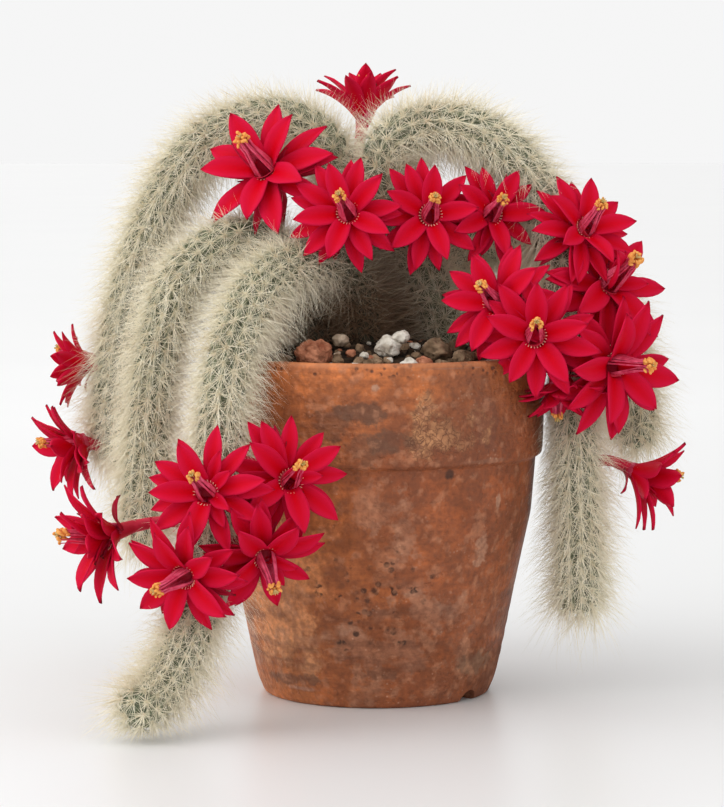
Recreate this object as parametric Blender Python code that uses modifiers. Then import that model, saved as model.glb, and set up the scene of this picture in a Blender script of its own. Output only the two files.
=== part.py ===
"""Monkey tail cactus in bloom, in a weathered terracotta pot.

Metres, +Z up. Every place below is measured from the pot's axis at table level, with X to the right,
Y away from the viewer and Z up. The whole plant hangs on one empty, which puts the bottom centre of
its bounding box at the world's origin.
"""

import math
import random
from typing import NamedTuple

import bmesh
import bpy
from mathutils import Matrix, Vector
from mathutils.bvhtree import BVHTree
from mathutils.kdtree import KDTree

MM = 0.001
MERGE = 0.00001
GAP = 0.0004

# Where the pot's axis stands, so that the origin is the bottom centre of the bounding box
POT_AXIS = Vector((8.6, 7.8, 0.0)) * MM

# Pot: a thrown cone with a tall collar, standing on a low foot ring
POT_HEIGHT = 162.5 * MM
RIM_RADIUS = 80.5 * MM
COLLAR_FOOT = 113.0 * MM
COLLAR_FOOT_RADIUS = 78.5 * MM
SHOULDER_RADIUS = 76.5 * MM
# The cone's radius and height, from the shoulder down
CONE = ((73.9, 87.0), (66.4, 52.0), (59.8, 20.0), (57.0, 8.0))
FOOT_RADIUS = 53.0 * MM
WALL = 7.0 * MM
FLOOR = 9.0 * MM
FOOT_RECESS = 4.0 * MM
FOOT_WIDTH = 11.0 * MM
DRAIN_RADIUS = 8.0 * MM
NOTCH_ANGLE = math.radians(-38)
NOTCH_RADIUS = 5.5 * MM
POT_SIDES = 28

# Soil and its top dressing of pumice and lava gravel, heaped up towards the middle
SOIL_TOP = 152.0 * MM
BED_EDGE = 156.5 * MM
BED_RISE = 9.0 * MM
BED_RINGS = (0.45, 0.8, 1.0)
SMALL_PEBBLES = 25
SMALL_RADII = (2.6 * MM, 4.2 * MM)
PEBBLE_SPREAD = 66.0 * MM
FINE_STONE = 7.3 * MM
# How far a stone's middle stands over the bed, in its own radii
LARGE_PROUD = 0.4
SMALL_PROUD = 0.25
# Larger stones: X, Y, radius, all in millimetres
LARGE_STONES = (
    (9, -45, 7.2),
    (-28, -50, 7.2),
    (-17, -33, 4.8),
    (29, -40, 7.4),
    (45, -44, 5.8),
    (22, -60, 4.4),
    (-4, -62, 4.6),
    (-50, -14, 5.5),
    (60, -14, 5.0),
    (48, 42, 6.0),
    (-60, 22, 5.5),
    (26, 58, 5.0),
)

# Stems
STEM_RESOLUTION = 2
RING_SPACING = 16.0 * MM
ROOT_DEPTH = 12.0 * MM
ROOT_SHARE = 0.86
ROOT_LENGTH = 30.0 * MM
SWELL_LENGTH = 60.0 * MM
TIP_TAPER = 0.10
ROOT_PLAY = 1.0 * MM
# The domed tip: how far back from the end, in stem radii, and the share of the radius there
TIP_DOME = ((0.75, 0.97), (0.30, 0.71), (0.0, 0.15))
BRISTLE_START = 22.0 * MM
BRISTLE_SPACING = 6.7 * MM
BRISTLE_LENGTH = 15.0 * MM
BRISTLE_RADIUS = 0.66 * MM
BRISTLE_CLEARANCE = 0.9 * MM
BRISTLE_DROOP = Vector((0.0, 0.0, -0.12))
GOLDEN_ANGLE = math.radians(137.508)

# Routes of the stems from the soil to the tip, in millimetres, with each stem's radius
STEMS = {
    "stem_left_arch": (10.3, (
        (-8, 30, 165), (-10, 30, 200), (-15, 31, 231), (-21, 32, 254), (-33, 34, 268), (-50, 35, 273),
        (-69, 35, 269), (-87, 34, 258), (-100, 33, 240), (-109, 32, 221), (-116, 31, 201),
        (-121, 30, 180), (-125, 29, 160), (-128, 28, 140), (-129, 27, 122), (-128, 26, 106),
    )),
    "stem_left": (10.3, (
        (-30, 5, 165), (-35, 4, 190), (-46, 2, 208), (-62, -4, 216), (-80, -10, 210), (-94, -15, 194),
        (-101, -20, 172), (-105, -24, 150), (-107, -27, 125), (-109, -30, 100), (-110, -32, 72),
    )),
    "stem_front_left": (10.3, (
        (-7, 4, 165), (-8, 2, 184), (-13, -4, 198), (-24, -13, 206), (-39, -26, 205), (-53, -41, 196),
        (-62, -57, 180), (-68, -69, 160), (-71, -77, 136), (-73, -84, 112), (-75, -91, 85),
        (-79, -99, 60), (-86, -109, 38), (-97, -122, 20), (-110, -137, 12.0),
    )),
    "stem_right_arch": (10.4, (
        (33, 10, 165), (27, 8, 190), (17, 6, 212), (7, 5, 235), (3, 6, 249), (6, 6, 260),
        (17, 5, 268), (33, 3, 270), (49, 1, 266), (62, -1, 257), (74, -3, 243), (82, -6, 225),
        (88, -9, 200), (92, -12, 172), (94, -14, 140), (95, -15, 105), (96, -16, 70), (96.5, -16, 38),
    )),
    "stem_right_back": (10.1, (
        (20, 38, 165), (23, 39, 190), (36, 40, 207), (56, 40, 214), (80, 40, 211), (100, 39, 199),
        (114, 38, 181), (122, 37, 160), (126, 36, 138), (127, 35, 112),
    )),
    "stem_back": (10.1, (
        (2, 55, 165), (1, 55, 195), (-2, 56, 220), (-6, 60, 236), (-9, 68, 243), (-12, 80, 239),
        (-15, 92, 225), (-17, 102, 204), (-18, 106, 180), (-18, 106, 152), (-17, 104, 125),
        (-16, 101, 96),
    )),
    "stem_back_left": (9.9, (
        (-33, 34, 165), (-36, 40, 184), (-42, 51, 196), (-49, 66, 198), (-55, 80, 187),
        (-59, 90, 166), (-61, 94, 140), (-61, 96, 115), (-61, 97, 88),
    )),
}


class Bloom(NamedTuple):
    """Where a bloom grows and how it is turned. Its places are in millimetres."""

    stem: str
    seat: tuple  # the point of space that the tube's seat on the stem is nearest to
    throat: tuple
    facing: tuple
    stamens: tuple  # the side of the throat that its stamens lean to
    size: float  # against the common bloom
    opening: float  # degrees that its petals open beyond the common bloom's


# Those in front come first, and those behind bend their petals clear of them
BLOOMS = {
    "bloom_top": Bloom(
        "stem_back", (-8, 56, 256), (-6, 60, 275),
        (0.05, 0.25, 0.97), (0.0, -1.0, 0.0), 1.12, -38),
    "bloom_upper_left": Bloom(
        "stem_left", (-46, 0, 224), (-52, -8, 249),
        (-0.42, -0.8, 0.42), (-0.5, 0.0, 0.9), 1.28, 0),
    "bloom_row_left": Bloom(
        "stem_front_left", (-22, -15, 222), (-13, -32, 229),
        (-0.12, -0.97, 0.2), (-0.4, 0.0, 0.9), 1.0, 0),
    "bloom_row_middle": Bloom(
        "stem_right_arch", (14, -6, 226), (25, -25, 228),
        (0.05, -0.98, 0.15), (0.2, 0.0, 1.0), 1.0, 0),
    "bloom_row_right": Bloom(
        "stem_right_arch", (68, -5, 233), (53, -17, 228),
        (0.2, -0.95, 0.15), (0.4, 0.0, 0.9), 0.98, 0),
    "bloom_right_front": Bloom(
        "stem_right_arch", (90, -26, 165), (72, -57, 174),
        (0.0, -1.0, 0.0), (0.0, 0.0, 1.0), 1.06, 0),
    "bloom_right_inner": Bloom(
        "stem_right_arch", (80, -22, 180), (55, -50, 188),
        (-0.3, -0.93, 0.2), (-0.4, 0.0, 0.9), 1.04, 0),
    "bloom_right_upper": Bloom(
        "stem_right_arch", (84, -18, 212), (97, -24, 221),
        (0.4, -0.8, 0.45), (0.3, 0.0, 1.0), 1.0, 0),
    "bloom_right_side": Bloom(
        "stem_right_arch", (98, -18, 188), (108, -26, 196),
        (0.5, -0.82, 0.28), (0.4, 0.0, 0.9), 1.24, 0),
    "bloom_right_lower": Bloom(
        "stem_right_arch", (100, -24, 150), (109, -42, 160),
        (0.5, -0.84, -0.15), (0.7, 0.0, 0.3), 1.24, 0),
    "bloom_under_front": Bloom(
        "stem_right_arch", (92, -28, 158), (84, -42, 151),
        (0.0, -0.25, -0.95), (0.0, 1.0, 0.0), 0.88, -22),
    "bloom_right_far": Bloom(
        "stem_right_arch", (106, -14, 112), (123, -15, 106),
        (0.88, -0.28, -0.38), (0.9, 0.0, 0.3), 1.12, -36),
    "bloom_left_high": Bloom(
        "stem_left_arch", (-134, 28, 152), (-140, 34, 156),
        (-0.93, 0.2, 0.0), (-0.3, 0.0, 0.9), 0.88, -30),
    "bloom_left_far": Bloom(
        "stem_left_arch", (-136, 18, 116), (-143, 10, 118),
        (-0.85, -0.4, -0.3), (-0.3, 0.0, 0.9), 1.04, -22),
    "bloom_low_centre": Bloom(
        "stem_front_left", (-75, -98, 112), (-75, -118, 108),
        (-0.18, -0.96, 0.2), (-0.4, 0.0, 0.9), 1.04, 0),
    "bloom_low_front": Bloom(
        "stem_front_left", (-80, -104, 72), (-84, -124, 73),
        (-0.4, -0.86, -0.3), (-0.7, 0.0, -0.1), 1.04, 0),
    "bloom_low_under": Bloom(
        "stem_front_left", (-68, -96, 84), (-50, -112, 80),
        (0.25, -0.85, -0.42), (0.1, 0.0, -0.9), 1.04, 0),
    "bloom_low_right": Bloom(
        "stem_front_left", (-62, -88, 120), (-39, -104, 112),
        (0.2, -0.96, 0.15), (0.3, 0.0, 0.9), 1.04, 0),
    "bloom_low_left": Bloom(
        "stem_front_left", (-84, -92, 92), (-120, -95, 87),
        (-0.84, -0.5, -0.2), (-0.9, 0.0, 0.2), 1.25, -28),
}
# The floral tube: its stub, its bend as a share of its length, and its radii from seat to throat
STUB = 2.0 * MM
TUBE_BEND = 0.15
SEAT_RADIUS = 3.0 * MM
WAIST_RADIUS = 2.7 * MM
THROAT_RADIUS = 3.7 * MM
PETALS_PER_WHORL = 5
SEPALS = 3
# How far behind the throat each whorl sits, and how far round its first blade is
INNER_WHORL = (1.5 * MM, 0.0)
OUTER_WHORL = (3.2 * MM, math.pi / PETALS_PER_WHORL)
SEPAL_WHORL = (7.0 * MM, 0.4)
# The bundle of filaments: how far along the bloom's axis, how far to the stamens' side, its radius
FILAMENTS = ((-2.5, 1.2, 1.5), (8.5, 2.2, 1.3), (17.0, 5.5, 1.05))
ANTHER_RADIUS = 2.9 * MM
# Petal kinds: length, half width, thickness, angle from the bloom's axis at the root and at the tip
INNER_PETAL = (25.5 * MM, 5.4 * MM, 1.4 * MM, 45, 82)
OUTER_PETAL = (27.0 * MM, 5.2 * MM, 1.4 * MM, 62, 98)
SEPAL = (22.0 * MM, 2.4 * MM, 1.3 * MM, 80, 125)
# Share of the petal's length, of its half width and of its thickness, from root to tip
PETAL_STATIONS = ((0.0, 0.26, 0.8), (0.34, 0.76, 1.0), (0.64, 1.0, 0.8), (1.0, 0.0, 0.0))
SEPAL_STATIONS = ((0.0, 0.7, 0.9), (0.5, 1.0, 1.0), (1.0, 0.0, 0.0))
PETAL_ROOT = 1.4 * MM
# Turns at the root that a petal tries, in degrees, until it clears what is there already
LIFTS = (0, 8, -8, 16, -16, 24, -24, 32, -32, 40, -40, 48, -48)
SHRINKS = (1.0, 0.8, 0.62)
PETAL_CLEARANCE = 0.5 * MM
NEAR = 40.0 * MM

# Each material's colour and roughness
MATERIALS = {
    "terracotta": ((0.47, 0.19, 0.09, 1.0), 0.9),
    "soil": ((0.035, 0.022, 0.015, 1.0), 1.0),
    "pumice": ((0.50, 0.44, 0.37, 1.0), 0.95),
    "stem_green": ((0.52, 0.53, 0.40, 1.0), 0.8),
    "petal_red": ((0.62, 0.008, 0.03, 1.0), 0.55),
    "anther_yellow": ((0.90, 0.52, 0.15, 1.0), 0.7),
}
POT_CREASE = 35
STEM_CREASE = 60


def clear_scene():
    for obj in list(bpy.data.objects):
        bpy.data.objects.remove(obj)


def collection(name):
    made = bpy.data.collections.new(name)
    bpy.context.scene.collection.children.link(made)
    return made


def material(name):
    colour, roughness = MATERIALS[name]
    made = bpy.data.materials.new(name)
    made.use_nodes = True
    shader = made.node_tree.nodes["Principled BSDF"]
    shader.inputs["Base Color"].default_value = colour
    shader.inputs["Roughness"].default_value = roughness
    shader.inputs["Metallic"].default_value = 0.0
    return made


def shade_round(obj, sharpest):
    """Smooth shading, with a crease wherever two faces meet at more than this many degrees."""
    obj.data.shade_smooth()
    obj.data.set_sharp_from_angle(angle=math.radians(sharpest))


def mesh_object(name, bm, home):
    mesh = bpy.data.meshes.new(name)
    bm.to_mesh(mesh)
    bm.free()
    obj = bpy.data.objects.new(name, mesh)
    home.objects.link(obj)
    return obj


def curve_object(name, points, radii, depth, resolution, home):
    """A tube through the points, whose radius is depth times each point's own factor."""
    curve = bpy.data.curves.new(name, "CURVE")
    curve.dimensions = "3D"
    curve.bevel_depth = depth
    curve.bevel_resolution = resolution
    curve.use_fill_caps = True
    spline = curve.splines.new("POLY")
    spline.points.add(len(points) - 1)
    for point, place, radius in zip(spline.points, points, radii):
        point.co = (*place, 1.0)
        point.radius = radius
    obj = bpy.data.objects.new(name, curve)
    home.objects.link(obj)
    return obj


def as_mesh(obj, home):
    """The curve as a closed mesh object of the same name."""
    bpy.context.view_layer.update()
    evaluated = obj.evaluated_get(bpy.context.evaluated_depsgraph_get())
    bm = bmesh.new()
    mesh = bpy.data.meshes.new_from_object(evaluated)
    bm.from_mesh(mesh)
    bmesh.ops.remove_doubles(bm, verts=bm.verts, dist=MERGE)
    bmesh.ops.recalc_face_normals(bm, faces=bm.faces)
    name, matrix = obj.name, obj.matrix_world.copy()
    bpy.data.objects.remove(obj)
    bpy.data.meshes.remove(mesh)
    made = mesh_object(name, bm, home)
    made.matrix_world = matrix
    return made


def screw_object(name, profile, sides, home):
    """A closed profile of (radius, height) points, turned once round Z."""
    bm = bmesh.new()
    verts = [bm.verts.new((radius, 0.0, height)) for radius, height in profile]
    for first, second in zip(verts, verts[1:] + verts[:1]):
        bm.edges.new((first, second))
    obj = mesh_object(name, bm, home)
    screw = obj.modifiers.new("turned", "SCREW")
    screw.steps = screw.render_steps = sides
    screw.use_merge_vertices = True
    screw.merge_threshold = MERGE
    return obj


def boolean(obj, operation, other, solver="EXACT"):
    modifier = obj.modifiers.new(operation.lower(), "BOOLEAN")
    modifier.operation = operation
    modifier.solver = solver
    if isinstance(other, bpy.types.Collection):
        modifier.operand_type = "COLLECTION"
        modifier.collection = other
    else:
        modifier.object = other


def apply_modifiers(obj):
    """Puts the evaluated mesh in place of the object's own, and drops its modifiers."""
    bpy.context.view_layer.update()
    graph = bpy.context.evaluated_depsgraph_get()
    mesh = bpy.data.meshes.new_from_object(obj.evaluated_get(graph))
    obj.modifiers.clear()
    obj.data = mesh


def keep_main_body(obj):
    """Drops loose scraps, and fills sealed hollows, by keeping the largest shell only."""
    bm = bmesh.new()
    bm.from_mesh(obj.data)
    left, shells = set(bm.faces), []
    while left:
        shell, front = set(), [left.pop()]
        while front:
            face = front.pop()
            shell.add(face)
            near = {other for edge in face.edges for other in edge.link_faces} & left
            left -= near
            front += near
        shells.append(shell)
    largest = max(shells, key=lambda faces: sum(face.calc_area() for face in faces))
    scraps = [face for shell in shells if shell is not largest for face in shell]
    bmesh.ops.delete(bm, geom=scraps, context="FACES")
    bm.to_mesh(obj.data)
    bm.free()


def tree_of(obj):
    """A search tree of the object's evaluated surface."""
    bpy.context.view_layer.update()
    return BVHTree.FromObject(obj, bpy.context.evaluated_depsgraph_get())


def smooth_line(points, step):
    """Points at an even step along a smooth curve through the given ones."""
    ends = [points[0] * 2 - points[1], *points, points[-1] * 2 - points[-2]]
    dense = []
    for a, b, c, d in zip(ends, ends[1:], ends[2:], ends[3:]):
        for i in range(12):
            t = i / 12
            dense.append(
                (b * 2 + (c - a) * t + (a * 2 - b * 5 + c * 4 - d) * t * t
                 + (b * 3 - a - c * 3 + d) * t ** 3) / 2
            )
    dense.append(points[-1])
    lengths = [0.0]
    for a, b in zip(dense, dense[1:]):
        lengths.append(lengths[-1] + (b - a).length)
    count = max(2, round(lengths[-1] / step))
    line, k = [], 0
    for i in range(count + 1):
        wanted = lengths[-1] * i / count
        while k < len(lengths) - 2 and lengths[k + 1] < wanted:
            k += 1
        share = (wanted - lengths[k]) / max(lengths[k + 1] - lengths[k], 1e-9)
        line.append(dense[k].lerp(dense[k + 1], min(1.0, share)))
    return line


def make_pot(home, cutters):
    foot_inner = FOOT_RADIUS - FOOT_WIDTH
    profile = [
        (RIM_RADIUS - WALL + 1.0 * MM, POT_HEIGHT - 0.8 * MM),
        (RIM_RADIUS - WALL + 2.5 * MM, POT_HEIGHT),
        (RIM_RADIUS - 1.6 * MM, POT_HEIGHT),
        (RIM_RADIUS, POT_HEIGHT - 2.0 * MM),
        (COLLAR_FOOT_RADIUS, COLLAR_FOOT + 1.5 * MM),
        (SHOULDER_RADIUS, COLLAR_FOOT - 2.0 * MM),
        *((radius * MM, height * MM) for radius, height in CONE),
        (FOOT_RADIUS, 0.0),
        (foot_inner, 0.0),
        (foot_inner - 1.5 * MM, FOOT_RECESS),
        (DRAIN_RADIUS, FOOT_RECESS),
        (DRAIN_RADIUS, FLOOR),
        (FOOT_RADIUS - WALL, FLOOR),
        (SHOULDER_RADIUS - WALL, COLLAR_FOOT),
        (RIM_RADIUS - WALL, POT_HEIGHT - 4.0 * MM),
    ]
    pot = screw_object("pot", profile, POT_SIDES, home)
    boolean(pot, "DIFFERENCE", notch_cutter(cutters))
    apply_modifiers(pot)
    shade_round(pot, POT_CREASE)
    pot.data.materials.append(material("terracotta"))
    return pot


def notch_cutter(cutters):
    """A lying cylinder that cuts the drainage notch through the foot ring."""
    bm = bmesh.new()
    reach = FOOT_WIDTH * 3
    lie_out = Matrix.Rotation(NOTCH_ANGLE, 4, "Z") @ Matrix.Translation((FOOT_RADIUS, 0, 0))
    bmesh.ops.create_cone(
        bm, cap_ends=True, segments=12, radius1=NOTCH_RADIUS, radius2=NOTCH_RADIUS, depth=reach,
        matrix=lie_out @ Matrix.Rotation(math.pi / 2, 4, "Y"),
    )
    cutter = mesh_object("notch_cutter", bm, cutters)
    hide(cutter)
    return cutter


def hide(obj):
    obj.hide_render = True
    obj.display_type = "WIRE"


def root_cutters(cutters):
    """One plain hole for each stem, through the gravel and into the soil."""
    low = SOIL_TOP - ROOT_DEPTH - GAP
    high = bed_height(0, 0) + ROOT_DEPTH
    for name, (radius, route) in STEMS.items():
        bm = bmesh.new()
        wide = radius * MM * ROOT_SHARE + ROOT_PLAY
        bmesh.ops.create_cone(
            bm, cap_ends=True, segments=10, radius1=wide, radius2=wide, depth=high - low,
            matrix=Matrix.Translation((route[0][0] * MM, route[0][1] * MM, (high + low) / 2)),
        )
        hide(mesh_object(name + "_hole", bm, cutters))


def make_soil(home, holes):
    profile = [
        (0.0, SOIL_TOP),
        (RIM_RADIUS - WALL - 1.2 * MM, SOIL_TOP),
        (SHOULDER_RADIUS - WALL - GAP, COLLAR_FOOT),
        (FOOT_RADIUS - WALL - GAP, FLOOR + GAP),
        (0.0, FLOOR + GAP),
    ]
    soil = screw_object("soil", profile, POT_SIDES, home)
    boolean(soil, "DIFFERENCE", holes)
    apply_modifiers(soil)
    soil.data.materials.append(material("soil"))
    return soil


def pebble(rng, place, radius, detail, home):
    """One rough stone: a faceted ball, squashed and dented at random."""
    bm = bmesh.new()
    bmesh.ops.create_icosphere(bm, subdivisions=detail, radius=radius)
    for vert in bm.verts:
        vert.co *= rng.uniform(0.82, 1.1)
    squash = Matrix.Diagonal((rng.uniform(0.85, 1.2), rng.uniform(0.8, 1.0), rng.uniform(0.65, 0.9), 1))
    turn = Matrix.Rotation(rng.uniform(0, math.tau), 4, "Z")
    turn = turn @ Matrix.Rotation(rng.uniform(-0.4, 0.4), 4, "X")
    bm.transform(Matrix.Translation(place) @ turn @ squash)
    mesh_object("pebble", bm, home)


def bed_height(x, y):
    """The height of the heaped bed of grit at a place."""
    return BED_EDGE + BED_RISE * (1.0 - (math.hypot(x, y) / (RIM_RADIUS - WALL)) ** 2)


def pebble_places(rng):
    """Places of the small pebbles, clear of the stems and of each other."""
    taken = [(x * MM, y * MM, r * MM * 0.8) for x, y, r in LARGE_STONES]
    taken += [(route[0][0] * MM, route[0][1] * MM, (r + 2.5) * MM) for r, route in STEMS.values()]
    places = []
    while len(places) < SMALL_PEBBLES:
        reach = PEBBLE_SPREAD * math.sqrt(rng.random())
        angle = rng.uniform(0, math.tau)
        radius = rng.uniform(*SMALL_RADII)
        x, y = reach * math.cos(angle), reach * math.sin(angle)
        if all(math.hypot(x - a, y - b) > 0.95 * (radius + r) for a, b, r in taken):
            taken.append((x, y, radius))
            places.append((x, y, radius))
    return places


def make_gravel(home, holes):
    """A heaped bed of grit with the pebbles standing out of it, joined in one body."""
    rng = random.Random(7)
    reach = RIM_RADIUS - WALL - 1.4 * MM
    profile = [(0.0, bed_height(0, 0))]
    profile += [(reach * t, bed_height(reach * t, 0)) for t in BED_RINGS]
    profile += [(reach - 0.4 * MM, SOIL_TOP + GAP), (0.0, SOIL_TOP + GAP)]
    gravel = screw_object("gravel", profile, POT_SIDES, home)
    apply_modifiers(gravel)
    stones = collection("stones")
    for x, y, radius in LARGE_STONES:
        high = bed_height(x * MM, y * MM) + radius * MM * LARGE_PROUD
        detail = 2 if radius * MM > FINE_STONE else 1
        pebble(rng, (x * MM, y * MM, high), radius * MM, detail, stones)
    for x, y, radius in pebble_places(rng):
        pebble(rng, (x, y, bed_height(x, y) + radius * SMALL_PROUD), radius, 1, stones)
    boolean(gravel, "UNION", stones, "MANIFOLD")
    apply_modifiers(gravel)
    keep_main_body(gravel)
    remove_collection(stones)
    boolean(gravel, "DIFFERENCE", holes)
    apply_modifiers(gravel)
    gravel.data.materials.append(material("pumice"))
    return gravel


def remove_collection(group):
    for obj in list(group.objects):
        bpy.data.objects.remove(obj)
    bpy.data.collections.remove(group)


def stem_line(route):
    """The stem's centre line: straight up out of the soil, then along its route."""
    points = [Vector(p) * MM for p in route]
    root = Vector((points[0].x, points[0].y, SOIL_TOP - ROOT_DEPTH))
    return smooth_line([root, *points], RING_SPACING)


def stem_share(from_root, length):
    """The share of the stem's radius at a distance from its root end."""
    swell = min(1.0, max(0.0, from_root - ROOT_LENGTH) / SWELL_LENGTH)
    return (ROOT_SHARE + (1.0 - ROOT_SHARE) * swell) * (1.0 - TIP_TAPER * from_root / length)


def stem_body(name, line, radius, home):
    """A tube along the centre line, with a domed tip."""
    last = len(line) - 1
    shares = [stem_share(i * RING_SPACING, last * RING_SPACING) for i in range(last)]
    back = (line[-2] - line[-1]).normalized()
    places = line[:-1] + [line[-1] + back * radius * reach for reach, _ in TIP_DOME]
    shares += [shares[-1] * share for _, share in TIP_DOME]
    body = as_mesh(curve_object(name, places, shares, radius, STEM_RESOLUTION, home), home)
    shade_round(body, STEM_CREASE)
    return body


def bristle_reach(root, lean, trees):
    """The longest length at which a bristle stays clear of everything else, or 0."""
    for share in (1.0, 0.75, 0.5):
        length = BRISTLE_LENGTH * share
        tip = root + lean * length
        steps = [root.lerp(tip, i / 10) for i in range(1, 11)]
        clear = all(
            tree.find_nearest(step, BRISTLE_CLEARANCE)[0] is None for tree in trees for step in steps
        )
        if clear and tip.z > BRISTLE_CLEARANCE:
            return length
    return 0.0


def add_bristles(stem, line, radius, trees, rng):
    """Raises three-sided bristles from the stem, one after another by the golden angle."""
    bm = bmesh.new()
    bm.from_mesh(stem.data)
    faces = [face for face in bm.faces if len(face.verts) == 4]
    finder = KDTree(len(faces))
    for i, face in enumerate(faces):
        finder.insert(face.calc_center_median(), i)
    finder.balance()
    used = set()
    length = RING_SPACING * (len(line) - 1)
    for n in range(int((length - BRISTLE_START) / BRISTLE_SPACING)):
        along = (BRISTLE_START + n * BRISTLE_SPACING) / RING_SPACING
        k = min(int(along), len(line) - 2)
        centre = line[k].lerp(line[k + 1], along - k)
        tangent = (line[k + 1] - line[k]).normalized()
        side = tangent.orthogonal().normalized()
        side.rotate(Matrix.Rotation(n * GOLDEN_ANGLE + rng.uniform(-0.3, 0.3), 3, tangent))
        found = finder.find(centre + side * radius)[1]
        if found in used:
            continue
        used.add(found)
        lean = (side + tangent * rng.uniform(0.0, 0.45) + BRISTLE_DROOP).normalized()
        raise_bristle(bm, faces[found], lean, trees)
    bm.to_mesh(stem.data)
    bm.free()


def raise_bristle(bm, face, lean, trees):
    """Insets one half of the face down to a small triangle and draws it out to a point."""
    half = bmesh.ops.triangulate(bm, faces=[face])["faces"][0]
    root = half.calc_center_median()
    reach = bristle_reach(root, lean, trees)
    if reach == 0.0:
        return
    bmesh.ops.inset_individual(bm, faces=[half], thickness=BRISTLE_RADIUS)
    for vert in half.verts:
        vert.co = root + (vert.co - root).normalized() * BRISTLE_RADIUS
    poked = bmesh.ops.poke(bm, faces=[half])
    poked["verts"][0].co = root + lean * reach


def petal_shape(kind, stations):
    """One blade: X along the bloom's axis, Y outward, its width along Z, its keel on the back."""
    length, half_width, thick, root_angle, tip_angle = kind
    bm = bmesh.new()
    bmesh.ops.create_cone(
        bm, cap_ends=True, segments=3, radius1=1.0, radius2=0.0, depth=1.0,
        matrix=Matrix.Translation((0, 0, 0.5)),
    )
    for share, _, _ in stations[1:-1]:
        geometry = bm.verts[:] + bm.edges[:] + bm.faces[:]
        bmesh.ops.bisect_plane(bm, geom=geometry, plane_co=(0, 0, share), plane_no=(0, 0, 1))
    for vert in bm.verts:
        share = vert.co.z
        _, wide, high = min(stations, key=lambda station: abs(station[0] - share))
        # The three corners of the cone's base lie at X -0.87, 0 and 0.87, and Y -0.5 and 1
        corner = vert.co.xy / max(1.0 - share, 1e-6)
        place, back = bend(share, length, root_angle, tip_angle)
        across = Vector((0, 0, -corner.x / math.sin(math.radians(60)) * half_width * wide))
        vert.co = place + across + back * (corner.y / 1.5 * thick * high)
    mesh = bpy.data.meshes.new("petal")
    bm.to_mesh(mesh)
    bm.free()
    return mesh


def bend(share, length, root_angle, tip_angle):
    """A point at this share of a blade's arc, and the way to its back there."""
    place, steps = Vector((0.0, PETAL_ROOT, 0.0)), 24
    for i in range(round(share * steps)):
        angle = math.radians(root_angle + (tip_angle - root_angle) * (i + 0.5) / steps)
        place = place + Vector((math.cos(angle), math.sin(angle), 0.0)) * length / steps
    angle = math.radians(root_angle + (tip_angle - root_angle) * share)
    return place, Vector((-math.sin(angle), math.cos(angle), 0.0))


def bloom_frame(throat, facing, lean):
    """Columns: X along the bloom's axis, Y the way that its stamens lean, Z across."""
    axis = facing.normalized()
    up = (lean - axis * lean.dot(axis)).normalized()
    across = axis.cross(up)
    frame = Matrix((axis, up, across)).transposed().to_4x4()
    frame.translation = throat
    return frame


def petal_matrix(frame, azimuth, lift, size):
    """Places a blade round the axis of its whorl's frame, turned up at its root by the lift."""
    hinge = Vector((0.0, PETAL_ROOT, 0.0))
    turn = Matrix.Translation(hinge) @ Matrix.Rotation(lift, 4, "Z") @ Matrix.Scale(size, 4)
    return frame @ Matrix.Rotation(azimuth, 4, "X") @ turn @ Matrix.Translation(-hinge)


def petal_clear(mesh, matrix, trees):
    """Whether the blade, placed by the matrix, crosses nothing and comes near nothing."""
    points = [matrix @ vert.co for vert in mesh.vertices]
    own = BVHTree.FromPolygons(points, [tuple(face.vertices) for face in mesh.polygons])
    points += [(points[a] + points[b]) / 2 for a, b in (edge.vertices for edge in mesh.edges)]
    return not any(
        own.overlap(tree) or any(tree.find_nearest(p, PETAL_CLEARANCE)[0] is not None for p in points)
        for tree in trees
    )


def whorl_frame(frame, line, back):
    """The bloom's frame, moved to the point of the tube this far behind the throat."""
    moved, here = frame.copy(), line[-1]
    for before in reversed(line[:-1]):
        gap = (here - before).length
        if back <= gap:
            break
        back, here = back - gap, before
    moved.translation = here.lerp(before, min(1.0, back / gap))
    return moved


def fit_petal(whorl, mesh, azimuth, tilt, size, trees):
    """The first placing at which the blade clears the rest of the plant, or None."""
    for shrink in SHRINKS:
        for lift in LIFTS:
            matrix = petal_matrix(whorl, azimuth, math.radians(tilt + lift), size * shrink)
            if petal_clear(mesh, matrix, trees):
                return matrix
    return None


def make_petals(frame, line, bloom, shapes, rng, trees, home):
    """Inner and outer whorls and a few narrow sepals, each bent clear of the rest of the plant."""
    whorls = (
        ("inner", INNER_WHORL, PETALS_PER_WHORL),
        ("outer", OUTER_WHORL, PETALS_PER_WHORL),
        ("sepal", SEPAL_WHORL, SEPALS),
    )
    for kind, (back, first), count in whorls:
        whorl = whorl_frame(frame, line, back)
        for i in range(count):
            azimuth = first + i * math.tau / count + rng.uniform(-0.12, 0.12)
            tilt = bloom.opening + rng.uniform(-5, 5)
            size = bloom.size * rng.uniform(0.94, 1.04)
            matrix = fit_petal(whorl, shapes[kind], azimuth, tilt, size, trees)
            if matrix is None:
                continue
            petal = bpy.data.objects.new("petal", shapes[kind].copy())
            petal.data.transform(matrix)
            home.objects.link(petal)


def tube_line(seat, normal, throat, axis):
    """A short stub square to the stem, then a bend into the bloom's axis, up to the throat."""
    stub = seat + normal * STUB
    bulge = (normal - axis) * (throat - stub).length * TUBE_BEND
    middle = (stub + throat) / 2 + bulge
    return [seat, stub, middle, throat]


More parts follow.
